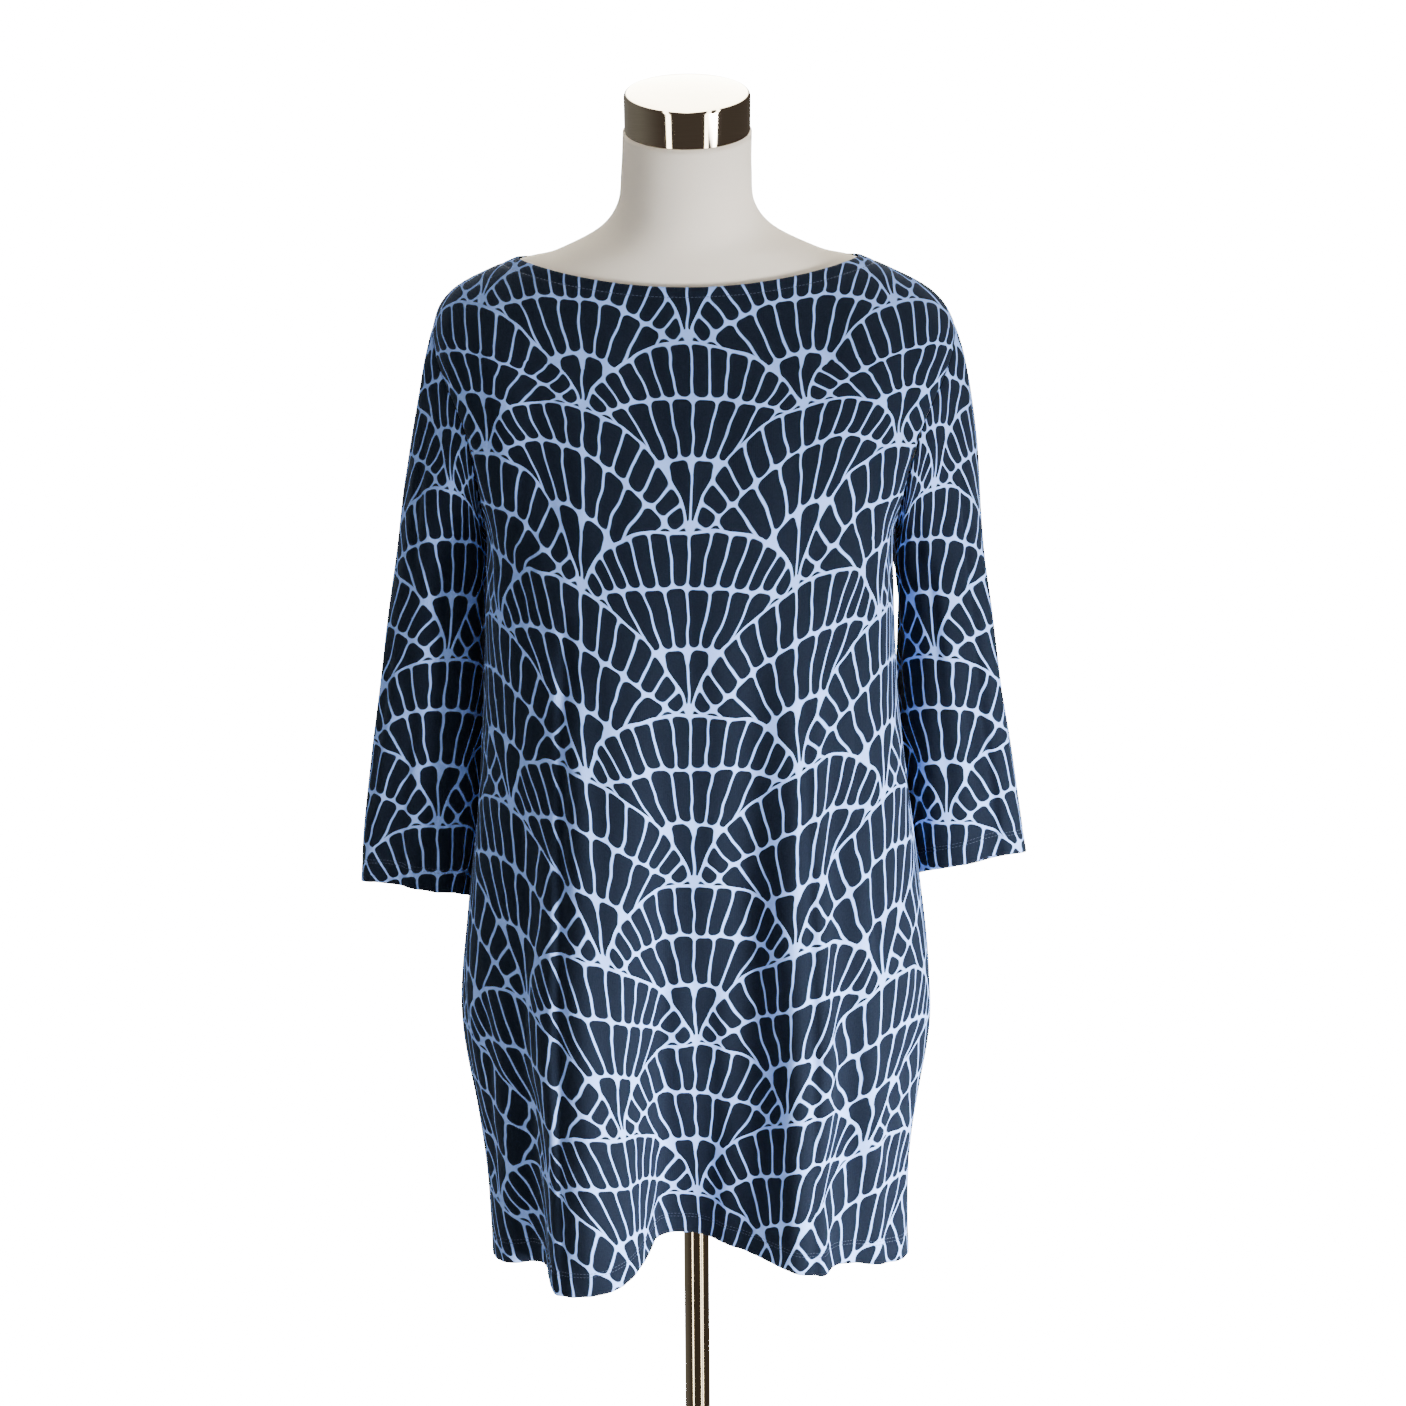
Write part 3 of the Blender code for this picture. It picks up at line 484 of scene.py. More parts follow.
frontCreases = (
    # top x, top z, low x, low z, bow, width, depth, skew; below zero is a trough
    (-0.104, 1.13, -0.119, 0.44, -0.003, 0.005, -0.0046, 0.3),
    (-0.092, 1.11, -0.096, 0.44, 0.002, 0.011, 0.0042, -0.2),
    (-0.026, 0.9, -0.033, 0.45, 0.003, 0.008, -0.0052, 0.2),
    (0.02, 1.13, 0.012, 0.78, 0.004, 0.013, 0.0024, 0.1),
    (0.056, 1.14, 0.05, 0.56, -0.006, 0.018, -0.0068, 0.2),
    (0.094, 1.06, 0.107, 0.43, 0.002, 0.0052, -0.005, -0.3),
    (0.084, 1.06, 0.088, 0.45, 0.003, 0.012, 0.0034, 0.1),
    (0.118, 1.02, 0.148, 0.47, -0.004, 0.011, -0.0056, 0.2),
    (0.134, 0.96, 0.166, 0.46, 0.003, 0.012, 0.0042, 0.0),
    (0.134, 1.1, 0.133, 1.03, 0.001, 0.005, -0.0014, 0.0),
    (0.137, 1.035, 0.146, 0.92, -0.002, 0.005, -0.0018, 0.2),
    (0.139, 1.205, 0.147, 1.105, 0.002, 0.006, -0.0018, 0.0),
    (0.154, 0.945, 0.16, 0.79, -0.002, 0.004, -0.0026, 0.2),
    (0.15, 1.12, 0.17, 0.9, 0.003, 0.009, 0.0016, 0.0),
    (-0.148, 1.03, -0.15, 0.86, 0.002, 0.005, -0.0018, 0.0),
    (-0.128, 1.19, -0.142, 1.1, 0.001, 0.0055, -0.0016, 0.0),
    (-0.144, 0.7, -0.15, 0.47, -0.002, 0.009, -0.0044, 0.2),
    (-0.166, 0.82, -0.172, 0.47, 0.003, 0.01, 0.0036, 0.0),
    (-0.182, 0.78, -0.184, 0.54, 0.001, 0.005, -0.002, 0.0),
    (-0.07, 0.86, -0.066, 0.46, -0.003, 0.013, -0.004, 0.2),
    (-0.052, 1.07, -0.06, 0.76, 0.003, 0.012, -0.0014, 0.0),
    (-0.01, 0.84, 0.004, 0.7, 0.002, 0.006, -0.0016, 0.0),
    (0.028, 0.8, 0.034, 0.48, -0.003, 0.012, 0.0034, 0.2),
    (0.186, 0.75, 0.184, 0.54, 0.001, 0.0045, -0.0022, 0.0),
    (0.176, 0.72, 0.172, 0.48, -0.001, 0.006, -0.0024, 0.1),
    (0.194, 0.73, 0.19, 0.6, 0.001, 0.004, -0.0016, 0.0),
    (-0.158, 1.205, -0.07, 1.13, 0.006, 0.011, -0.0022, 0.1),
    (-0.16, 1.175, -0.078, 1.085, 0.006, 0.01, 0.0018, 0.0),
    (-0.162, 1.15, -0.09, 1.04, 0.005, 0.009, -0.0018, 0.0),
    (-0.156, 1.245, -0.11, 1.185, 0.004, 0.009, -0.0014, 0.0),
    (0.16, 1.205, 0.074, 1.135, -0.006, 0.011, -0.0022, 0.1),
    (0.163, 1.175, 0.084, 1.09, -0.006, 0.01, 0.0018, 0.0),
    (0.165, 1.15, 0.1, 1.05, -0.005, 0.009, -0.0018, 0.0),
    (0.162, 1.25, 0.118, 1.19, -0.004, 0.009, -0.0015, 0.0),
    (-0.176, 1.33, -0.15, 1.21, -0.006, 0.01, -0.0018, 0.1),
    (0.182, 1.33, 0.158, 1.215, 0.006, 0.01, -0.0018, 0.1),
)
backCreases = (
    (-0.11, 1.09, -0.122, 0.44, 0.004, 0.009, -0.0034, 0.2),
    (-0.09, 1.06, -0.094, 0.44, -0.003, 0.013, 0.0026, 0.0),
    (-0.046, 0.98, -0.04, 0.45, 0.004, 0.011, -0.0032, 0.2),
    (0.004, 1.15, -0.004, 0.74, -0.003, 0.014, -0.0022, 0.0),
    (0.038, 0.96, 0.046, 0.45, -0.004, 0.012, -0.0034, -0.2),
    (0.088, 1.08, 0.098, 0.44, 0.003, 0.013, 0.0028, 0.0),
    (0.112, 1.06, 0.124, 0.45, -0.003, 0.0085, -0.0034, 0.2),
    (0.15, 0.93, 0.156, 0.47, 0.002, 0.008, -0.0024, 0.0),
    (-0.152, 0.96, -0.16, 0.47, -0.002, 0.0085, -0.0026, 0.0),
    (-0.176, 0.8, -0.18, 0.52, 0.001, 0.0055, -0.002, 0.0),
    (0.178, 0.82, 0.182, 0.54, 0.001, 0.0055, -0.002, 0.0),
    (-0.16, 1.215, -0.07, 1.15, 0.006, 0.011, -0.002, 0.0),
    (-0.162, 1.17, -0.086, 1.08, 0.005, 0.01, 0.0016, 0.0),
    (0.16, 1.215, 0.066, 1.145, -0.006, 0.011, -0.002, 0.0),
    (0.163, 1.17, 0.09, 1.085, -0.005, 0.01, 0.0016, 0.0),
    (-0.02, 0.9, -0.014, 0.62, 0.002, 0.007, 0.0016, 0.0),
    (0.064, 0.86, 0.07, 0.52, -0.002, 0.009, 0.0018, 0.0),
    (-0.07, 0.84, -0.074, 0.5, 0.002, 0.008, -0.0016, 0.0),
)
clothWaves = (
    # height, width, length, start
    (0.0007, 0.11, 0.9, 0.1), (0.0005, -0.074, 0.48, 0.42), (0.0004, 0.052, 0.3, 0.77),
    (0.0003, 0.19, 0.12, 0.31), (0.00022, -0.038, 0.21, 0.05), (0.00015, 0.023, 0.15, 0.63),
)
panelPieces = {
    "front": {"name": "tunicFrontCloth", "node": "tunic_front", "columns": 196, "creases": frontCreases,
              "flat": (0.65, 0.92), "area": 0.475},
    "back": {"name": "tunicBackCloth", "node": "tunic_back", "columns": 170, "creases": backCreases,
             "flat": (0.57, 0.92), "area": 0.455},
}


panelLayout = {
    "neckRows": (0, 0.0004, 0.0009, 0.0016, 0.003, 0.005, 0.007, 0.0078, 0.0085, 0.0092, 0.01, 0.0115, 0.014),
    "tipRows": (0, 0.0004, 0.001, 0.002, 0.0035, 0.0055, 0.008), "tipMiddle": 0.004, "tipClear": 0.006,
    "hemRows": (0.026, 0.0238, 0.0222, 0.0206, 0.019, 0.0174, 0.0158, 0.0142, 0.012, 0.009, 0.006, 0.0035,
                0.0018, 0.0009, 0.0004, 0.0),
    "middleRows": 190, "samples": 2001, "seamDensity": 1.6, "seamReach": 0.03,
    "halfWidth": 0.2, "widest": 0.98, "creaseDensity": 0.012, "creaseShare": 0.35, "creaseReach": 0.035,
}


def panelRows():
    # places of the rows: crowded at the turned neck edge, at the shoulder tip, at the hem and at
    # each stitch line
    neck, up = panelLayout["neckRows"], panelLayout["hemRows"]
    middle = np.linspace(neck[-1], hemDown - up[0], panelLayout["middleRows"])[1:-1]
    middle = middle[np.abs(middle - tipDown - panelLayout["tipMiddle"]) > panelLayout["tipClear"]]
    tip = tipDown + np.array(panelLayout["tipRows"])
    return np.sort(np.concatenate([neck, middle, tip, [hemDown - part for part in up]]))


def panelColumns(count, creases):
    # places from -1 to 1, closer together at the sharp creases and at both side seams
    layout = panelLayout
    places = np.linspace(-1, 1, layout["samples"])
    density = 1 + layout["seamDensity"] * bell(np.abs(places) - 1, layout["seamReach"])
    for topX, topZ, lowX, lowZ, bow, width, depth, skew in creases:
        where = np.clip((topX + lowX) / 2 / layout["halfWidth"], -layout["widest"], layout["widest"])
        centre = np.arcsin(where) / (math.pi / 2)
        density += (layout["creaseDensity"] / width * layout["creaseShare"]
                    * bell(places - centre, layout["creaseReach"]))
    filled = np.concatenate([[0], np.cumsum((density[1:] + density[:-1]) / 2)])
    return np.interp(np.linspace(0, filled[-1], count), filled, places)


def turnedPart(fromEdge, stitch, room, blend):
    # 1 where the edge is turned, up to a little past its stitches, and 0 beyond
    return np.clip((stitch + room - fromEdge) / blend, 0, 1)


def hemPress(fromEdge, along, height, pitch):
    # small slanted puckers inside a hem, less the roll of its edge and the grooves of its two stitch rows
    pucker = height * np.sin(2 * math.pi * (along + clothSize["puckerSlant"] * fromEdge) / pitch)
    pucker = pucker * np.clip(1 - fromEdge / clothSize["puckerHeight"], 0, 1)
    roll = clothSize["edgeRoll"] * bell(fromEdge, clothSize["edgeWidth"])
    grooves = sum(bell(fromEdge - stitch, clothSize["grooveWidth"]) for stitch in stitchHeights)
    return pucker - roll - clothSize["groove"] * grooves


def pressedWall(smooth, normal, press, closed, turned, rim):
    # outer points pressed along the normals, and inner ones as far in as the cloth is thick: twice
    # where its edge is turned, and thinned to a round rim
    outer = smooth + normal * press[..., None]
    finish = gridNormals(outer, closed)
    finish = finish * np.sign((finish * normal).sum(axis=-1, keepdims=True))
    thick = clothSize["wall"] + (clothSize["turned"] - clothSize["wall"]) * turned
    thick = thick - clothSize["edgeRoll"] * rim
    return outer, finish, outer - finish * thick[..., None]


def panelGrid(side):
    # the outer points of front or back, with creases and edges pressed in along the normals
    piece = panelPieces[side]
    down = panelRows()[:, None]
    across = panelColumns(piece["columns"], piece["creases"])[None, :]
    turn = across * (armholeEdge(down) - clothSize["seamTurn"])
    angle = math.pi - turn if side == "back" else turn
    angle, down = np.broadcast_arrays(angle, down)
    smooth = tunicSurface(angle, down)
    normal = gridNormals(smooth, False)
    if (normal * (smooth - smooth.mean(axis=(0, 1)) * (0, 0, 1)))[..., :2].sum() < 0:
        normal = -normal
    grain = arcGrain(smooth, int(np.argmin(np.abs(across))))
    fromSeam = np.abs(grain[:, [0, -1], 0])
    fromSeam = np.where(across < 0, fromSeam[:, :1], fromSeam[:, 1:]) - np.abs(grain[..., 0])
    press = creaseField(piece["creases"], smooth[..., 0], smooth[..., 2])
    press = press + softUnevenness(clothWaves, grain[..., 0], grain[..., 1])
    press = press * np.clip(fromSeam / clothSize["seamCalm"], 0, 1)
    press = press * np.clip(down / clothSize["neckCalm"], 0, 1)
    press = press - clothSize["seamDip"] * bell(fromSeam, clothSize["seamWidth"])
    fromHem = hemDown - down
    press = press + hemPress(fromHem, grain[..., 0], *clothSize["hemPucker"])
    press = press - clothSize["edgeRoll"] * bell(down, clothSize["edgeWidth"])
    press = press - clothSize["groove"] * bell(down - clothSize["neckStitch"], clothSize["neckGroove"])
    turned = np.maximum(
        turnedPart(fromHem, clothSize["hemStitch"], clothSize["hemRoom"], clothSize["hemBlend"]),
        turnedPart(down, clothSize["neckStitch"], clothSize["neckRoom"], clothSize["neckBlend"]))
    rim = bell(down, clothSize["edgeWidth"]) + bell(fromHem, clothSize["edgeWidth"])
    return *pressedWall(smooth, normal, press, False, turned, rim), grain


def clothArea(points, closed):
    # half the cross product of each quad's diagonals, summed
    if closed:
        points = np.concatenate([points, points[:, :1]], axis=1)
    first = points[1:, 1:] - points[:-1, :-1]
    second = points[1:, :-1] - points[:-1, 1:]
    return float(np.linalg.norm(np.cross(first, second), axis=-1).sum() / 2)


def makeCloth(piece, outer, inner, grain, closed):
    # the wall of one piece, standing for its solid, with its true flat size reported
    cloth = wallObject(piece["name"], outer, inner, grain, closed, jerseyCloth)
    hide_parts(piece["node"])
    print(piece["name"], "made, width", round(float(np.ptp(grain[..., 0], axis=1).max()), 3), "length",
          round(float(np.ptp(grain[..., 1])), 3), "area", round(clothArea(outer, closed), 4))
    return cloth


def makePanel(side):
    # front or back: its cloth, and the grids that its stitches follow
    outer, normal, inner, grain = panelGrid(side)
    return makeCloth(panelPieces[side], outer, inner, grain, False), outer, normal


# Sleeves

sleevePieces = {
    "left": {
        "name": "sleeveLeftCloth", "node": "sleeve_left", "side": -1, "flat": (0.31, 0.54), "area": 0.122,
        "sections": {
            # along, out, back, z, half wide, half deep, rise, pitch
            "upper": (0.0, 0.2195, 0.022, 1.115, 0.0395, 0.052, 0.14, 0.0),
            "bicep": (0.2, 0.226, 0.02, 1.056, 0.0425, 0.05, 0.15, 0.04),
            "elbow": (0.5, 0.235, 0.018, 0.97, 0.048, 0.045, 0.15, 0.12),
            "lower": (0.8, 0.246, 0.018, 0.886, 0.0495, 0.038, 0.15, 0.26),
            "cuff": (1.0, 0.252, 0.02, 0.828, 0.048, 0.033, 0.15, 0.34)},
        "creases": ((0.17, 0.045, 0.006, 0.35, 2.2), (0.7, 0.06, 0.007, 0.6, 2.2)),
        "fine": (
            # first turn, last turn, width in turns, depth, first along, last along
            (0.13, 0.16, 0.02, -0.0026, 0.25, 1.0), (0.24, 0.27, 0.03, -0.0022, 0.55, 1.45),
            (0.1, 0.085, 0.022, -0.0018, 1.1, 1.8), (0.205, 0.215, 0.018, -0.0028, 1.35, 2.15),
            (0.31, 0.29, 0.028, -0.0024, 0.75, 1.7), (0.03, 0.05, 0.03, 0.0016, 0.6, 1.6),
            (0.38, 0.36, 0.03, -0.002, 0.3, 1.1), (0.6, 0.62, 0.03, -0.0024, 0.4, 1.4),
            (0.8, 0.78, 0.03, -0.0022, 0.6, 1.8), (0.9, 0.88, 0.025, -0.002, 0.2, 1.0),
            (0.66, 0.6, 0.025, 0.0018, 1.1, 2.0), (0.34, 0.4, 0.02, -0.0018, 1.5, 2.1),
            (0.57, 0.57, 0.065, 0.005, 0.1, 2.15))},
    "right": {
        "name": "sleeveRightCloth", "node": "sleeve_right", "side": 1, "flat": (0.31, 0.515), "area": 0.116,
        "sections": {
            "upper": (0.0, 0.2195, 0.022, 1.115, 0.0395, 0.052, 0.14, 0.0),
            "bicep": (0.2, 0.226, 0.02, 1.062, 0.0405, 0.05, 0.15, 0.04),
            "elbow": (0.5, 0.2325, 0.019, 0.983, 0.0465, 0.045, 0.17, 0.12),
            "lower": (0.8, 0.245, 0.019, 0.902, 0.0475, 0.038, 0.19, 0.26),
            "cuff": (1.0, 0.2518, 0.02, 0.849, 0.0482, 0.033, 0.2, 0.34)},
        "creases": ((0.2, 0.035, 0.007, 0.55, 2.2), (0.76, 0.06, 0.006, 0.5, 2.2)),
        "fine": (
            (0.155, 0.175, 0.014, -0.0034, 0.35, 2.15), (0.26, 0.24, 0.03, -0.0024, 0.4, 1.3),
            (0.32, 0.3, 0.026, -0.0022, 0.8, 1.8), (0.09, 0.08, 0.028, 0.0018, 0.7, 1.9),
            (0.37, 0.35, 0.028, -0.0022, 0.3, 1.0), (0.22, 0.25, 0.02, -0.002, 1.4, 2.15),
            (0.62, 0.6, 0.03, -0.0024, 0.45, 1.5), (0.82, 0.8, 0.03, -0.0022, 0.5, 1.7),
            (0.93, 0.9, 0.025, -0.0018, 0.2, 1.0), (0.7, 0.66, 0.025, 0.0018, 1.1, 2.0),
            (0.03, 0.02, 0.022, -0.0014, 0.6, 1.4), (0.42, 0.44, 0.02, -0.0018, 1.5, 2.1),
            (0.575, 0.57, 0.06, 0.009, 1.04, 2.2), (0.61, 0.605, 0.055, 0.0125, 0.03, 1.05))},
}
capShape = {"leave": 0.30, "arrive": 0.42, "lift": 0.85, "tightness": 0.75, "gap": 0.0004,
            "creaseEase": 0.7, "probe": 0.0005, "settle": 0.25, "calm": 0.12, "columns": 148,
            "headRows": (0, 0.004, 0.01, 0.02, 0.035, 0.055), "middleRows": 118,
            "cuffRows": (1.9, 1.915, 1.9215, 1.928, 1.9345, 1.941, 1.95, 1.965, 1.98, 1.99, 1.995,
                         1.998, 2.0)}


def bodyNormals(angle, down):
    # outward normals of the tunic from differences of a small step
    probe = capShape["probe"]
    first = tunicSurface(angle + probe, down) - tunicSurface(angle - probe, down)
    second = tunicSurface(angle, down + probe) - tunicSurface(angle, down - probe)
    return unit(np.cross(second, first))


def mouthPlace(side, turn):
    # the armhole as a loop: turn 0 at the shoulder, 1/4 in front, 1/2 under the arm
    turn = np.mod(turn, 1.0)
    fore = turn <= 0.5
    down = tipDown + (underarmDown - tipDown) * 2 * np.where(fore, turn, 1 - turn)
    edge = armholeEdge(down)
    return side * np.where(fore, edge, math.pi - edge), down


def mouthHeading(side, turn):
    # on down the shoulder at the top of the armhole, and straight out under the arm; near the
    # shoulder tip its way forward or back fades out, so that the head of the sleeve stays round
    probe = capShape["probe"]
    edge = tunicSurface(*mouthPlace(side, turn + probe)) - tunicSurface(*mouthPlace(side, turn - probe))
    out = bodyNormals(*mouthPlace(side, turn))
    onward = unit(side * np.cross(out, edge))
    under = 0.5 * (1 - np.cos(2 * math.pi * turn))[..., None]
    heading = onward * (1 - capShape["lift"] * under) + out * under
    settled = np.clip(np.minimum(turn, 1 - turn) / capShape["settle"], 0, 1)
    heading[..., 1] *= settled * settled * (3 - 2 * settled)
    return unit(heading)


def tubeSection(piece, turn, along):
    # an ellipse that hangs level but for its rise across and its pitch from back to front
    out, back, z, wide, deep, rise, pitch = readColumns(piece["sections"], along)
    reach = wide * np.cos(2 * math.pi * turn)
    ahead = deep * np.sin(2 * math.pi * turn)
    return np.stack([piece["side"] * (out + reach), back - ahead, z + rise * reach + pitch * ahead], axis=-1)


def sleeveSurface(piece, turn, along):
    # a cubic from the armhole to the top of the tube, then the tube, less the long creases
    side = piece["side"]
    turn, along = np.broadcast_arrays(np.mod(turn, 1.0), along)
    start = tunicSurface(*mouthPlace(side, turn))
    top = tubeSection(piece, turn, np.zeros_like(along))
    below = tubeSection(piece, turn, np.full_like(along, capShape["probe"]))
    leave = mouthHeading(side, turn)
    arrive = unit(below - top)
    span = np.linalg.norm(top - start, axis=-1, keepdims=True)
    part = np.clip(along, 0, 1)[..., None]
    under = 0.5 * (1 - np.cos(2 * math.pi * turn))[..., None]
    start = start + leave * capShape["gap"]
    first = start + leave * span * capShape["leave"] * (1 - capShape["tightness"] * under)
    second = top - arrive * span * capShape["arrive"]
    cap = ((1 - part) ** 3 * start + 3 * (1 - part) ** 2 * part * first
           + 3 * (1 - part) * part ** 2 * second + part ** 3 * top)
    points = np.where((along <= 1)[..., None], cap, tubeSection(piece, turn, np.clip(along - 1, 0, 1)))
    inward = -np.stack([side * np.cos(2 * math.pi * turn), -np.sin(2 * math.pi * turn),
                        np.zeros_like(turn)], axis=-1)
    depth = sum(deep * bell(turn - place, width)
                * np.clip((along - begin) / (end - begin), 0, 1) ** capShape["creaseEase"]
                for place, width, deep, begin, end in piece["creases"])
    return points + inward * depth[..., None]


def sleeveRows():
    # places along the sleeve: 0 to 1 is the cap, 1 to 2 the tube, crowded at both ends
    head, cuff = capShape["headRows"], capShape["cuffRows"]
    return np.concatenate([head, np.linspace(head[-1], cuff[0], capShape["middleRows"])[1:-1], cuff])


def sleeveGrid(piece):
    # the outer points of a sleeve with its fine creases, seam dip, stitch grooves and rolled cuff
    columns = capShape["columns"]
    along = sleeveRows()[:, None]
    turn = (np.arange(columns) / columns + 0.5)[None, :]
    turn, along = np.broadcast_arrays(turn, along)
    smooth = sleeveSurface(piece, turn, along)
    middle = smooth.mean(axis=1, keepdims=True)
    normal = gridNormals(smooth, True)
    normal = normal * np.sign((normal * (smooth - middle)).sum())
    grain = arcGrain(np.concatenate([smooth, smooth[:, :1]], axis=1), columns // 2)
    flat = grain[:, :-1]
    wrapped = np.mod(turn, 1.0)
    press = np.zeros_like(wrapped)
    for firstTurn, lastTurn, width, depth, begin, end in piece["fine"]:
        part = np.clip((along - begin) / (end - begin), 0, 1)
        place = firstTurn + (lastTurn - firstTurn) * part
        off = np.mod(wrapped - place + 0.5, 1.0) - 0.5
        press = press + depth * (1 - (2 * part - 1) ** 4) * bell(off, width)
    press = press + softUnevenness(clothWaves, flat[..., 0], flat[..., 1])
    press = press * np.clip(along / capShape["calm"], 0, 1)
    fromSeam = runningLength(smooth, 0)
    fromCuff = fromSeam[-1:] - fromSeam
    press = press - clothSize["seamDip"] * bell(fromSeam, clothSize["seamWidth"])
    press = press + hemPress(fromCuff, flat[..., 0], *clothSize["cuffPucker"])
    turned = turnedPart(fromCuff, clothSize["hemStitch"], clothSize["hemRoom"], clothSize["hemBlend"])
    rim = bell(fromCuff, clothSize["edgeWidth"])
    return *pressedWall(smooth, normal, press, True, turned, rim), grain, fromCuff


def makeSleeve(key):
    # left or right: its cloth, the grids that its stitches follow, and the height above the cuff
    outer, normal, inner, grain, fromCuff = sleeveGrid(sleevePieces[key])
    return makeCloth(sleevePieces[key], outer, inner, grain, True), outer, normal, fromCuff


frontCloth, frontOuter, frontNormal = makePanel("front")
backCloth, backOuter, backNormal = makePanel("back")
leftSleeve, leftOuter, leftNormal, leftFromCuff = makeSleeve("left")
rightSleeve, rightOuter, rightNormal, rightFromCuff = makeSleeve("right")


# Sewing threads

stitchSize = {"pitch": 0.0032, "length": 0.0026, "radius": 0.00021, "sides": 6,
              "along": (0.0, 0.14, 0.5, 0.86, 1.0), "fat": (0.25, 0.85, 1.0, 0.85, 0.25),
              "lift": (-1.0, 0.25, 0.7, 0.25, -1.0), "colour": "#2a3650", "dark": "#171e2d"}


def threadMaterial():
    # spun polyester thread: slightly glossier than the jersey it is sewn into
    material, tree, shader = newMaterial("navyPolyesterThread", {
        "Roughness": 0.65, "IOR": 1.55, "Specular IOR Level": 0.25})
    place = addNode(tree, "ShaderNodeTexCoord", {}, {})
    noise = noiseNode(tree, (place, "Object"), 900.0)
    colour = mixColours(tree, (noise, 0), stitchSize["dark"], stitchSize["colour"])
    finishSurface(tree, shader, colour)
    return material


def stitchPoints(line, normal):
    # spindles laid end to end along a line: ends dip into the cloth, the middle stands proud
    size = stitchSize
    place = runningLength(line, 0)
    centres = np.arange(size["pitch"] / 2, place[-1] - size["pitch"] / 2, size["pitch"])

    def at(values, where):
        # values along the line, read between its points
        return np.stack([np.interp(where, place, values[:, axis]) for axis in range(3)], axis=-1)

    first, last = at(line, centres - size["length"] / 2), at(line, centres + size["length"] / 2)
    up = unit(at(normal, centres))
    beside = np.cross(unit(last - first), up)
    along, fat, lift = (np.array(size[key]) for key in ("along", "fat", "lift"))
    fat, lift = fat * size["radius"], lift * size["radius"]
    angle = np.arange(size["sides"]) * 2 * math.pi / size["sides"]
    spine = first[:, None] + (last - first)[:, None] * along[:, None] + up[:, None] * lift[:, None]
    ring = up[:, None, None] * np.cos(angle)[:, None] + beside[:, None, None] * np.sin(angle)[:, None]
    return spine[:, :, None] + ring * fat[None, :, None, None]


def makeThreads(name, lines, material):
    # all the stitches of some lines as one object: spindles side by side, each with both ends closed
    points = np.concatenate([stitchPoints(line, normal) for line, normal in lines])
    count, rings, sides = points.shape[:3]
    quads, corners = gridQuads(rings, sides, True)
    quads, corners = outwards(points[0].reshape(-1, 3), quads, corners)
    every = (quads[None] + (np.arange(count) * rings * sides)[:, None, None]).reshape(-1, 4)
    front = np.arange(sides)[None, :] + (np.arange(count) * rings * sides)[:, None]
    back = front + (rings - 1) * sides
    flipped = quads[0, 0] != 0
    ends = np.concatenate([front[:, ::-1] if flipped else front, back if flipped else back[:, ::-1]])
    return makeObject(name, points.reshape(-1, 3), every.tolist() + ends.tolist(), material)


def rowAt(outer, normal, rows, where):
    # the row of a grid at a place, as a line of points and a line of normals
    row = int(np.argmin(np.abs(rows - where)))
    return outer[row], normal[row]


def cuffLine(outer, normal, fromCuff, height):
    # the points at one height above the cuff, column by column, closed into a ring
    columns = np.arange(outer.shape[1])
    below = np.array([np.searchsorted(-fromCuff[:, column], -height) for column in columns])
    part = ((fromCuff[below - 1, columns] - height)
            / (fromCuff[below - 1, columns] - fromCuff[below, columns]))[:, None]
    line = outer[below - 1, columns] * (1 - part) + outer[below, columns] * part
    up = normal[below - 1, columns]
    return np.concatenate([line, line[:1]]), np.concatenate([up, up[:1]])


rows = panelRows()
bothPanels = ((frontOuter, frontNormal), (backOuter, backNormal))
threadLines = {
    "neckStitchThread": [rowAt(outer, normal, rows, clothSize["neckStitch"]) for outer, normal in bothPanels],
    "hemStitchThread": [rowAt(outer, normal, rows, hemDown - height)
                        for outer, normal in bothPanels for height in stitchHeights],
    "cuffStitchThreadLeft": [cuffLine(leftOuter, leftNormal, leftFromCuff, height)
                             for height in stitchHeights],
    "cuffStitchThreadRight": [cuffLine(rightOuter, rightNormal, rightFromCuff, height)
                              for height in stitchHeights],
}
thread = threadMaterial()
threads = [makeThreads(name, lines, thread) for name, lines in threadLines.items()]
print("stitches laid")


# The dress form

formPiece = {"columns": 144, "rows": 190, "cover": "#fdf5e8", "coverDeep": "#f7eddd"}


def formCover():
    # Knitted stretch cover over a moulded shell: matt, off-white, with a fine even knit
    material, tree, shader = newMaterial("offWhiteKnitCover", {
        "Roughness": 0.82, "IOR": 1.46, "Specular IOR Level": 0.25, "Sheen Weight": 0.1,
        "Sheen Roughness": 0.4})
    place = addNode(tree, "ShaderNodeTexCoord", {}, {})
    soft = noiseNode(tree, (place, "Object"), 14.0, 3.0)
    fine = noiseNode(tree, (place, "Object"), 700.0)
    colour = mixColours(tree, (soft, 0), formPiece["coverDeep"], formPiece["cover"])
    finishSurface(tree, shader, colour, (fine, 0), 0.25, 0.0003)
    return material


def closedTube(name, points, material):
    # a tube of rings with a flat face over each end
    rows, columns = points.shape[:2]
    quads, corners = gridQuads(rows, columns, True)
    flat = points.reshape(-1, 3)
    turnedQuads, corners = outwards(flat, quads, corners)
    first, last = np.arange(columns), np.arange(columns) + (rows - 1) * columns
    if (turnedQuads[0] == quads[0]).all():
        last = last[::-1]
    else:
        first = first[::-1]
    return makeObject(name, flat, turnedQuads.tolist() + [first.tolist(), last.tolist()], material)


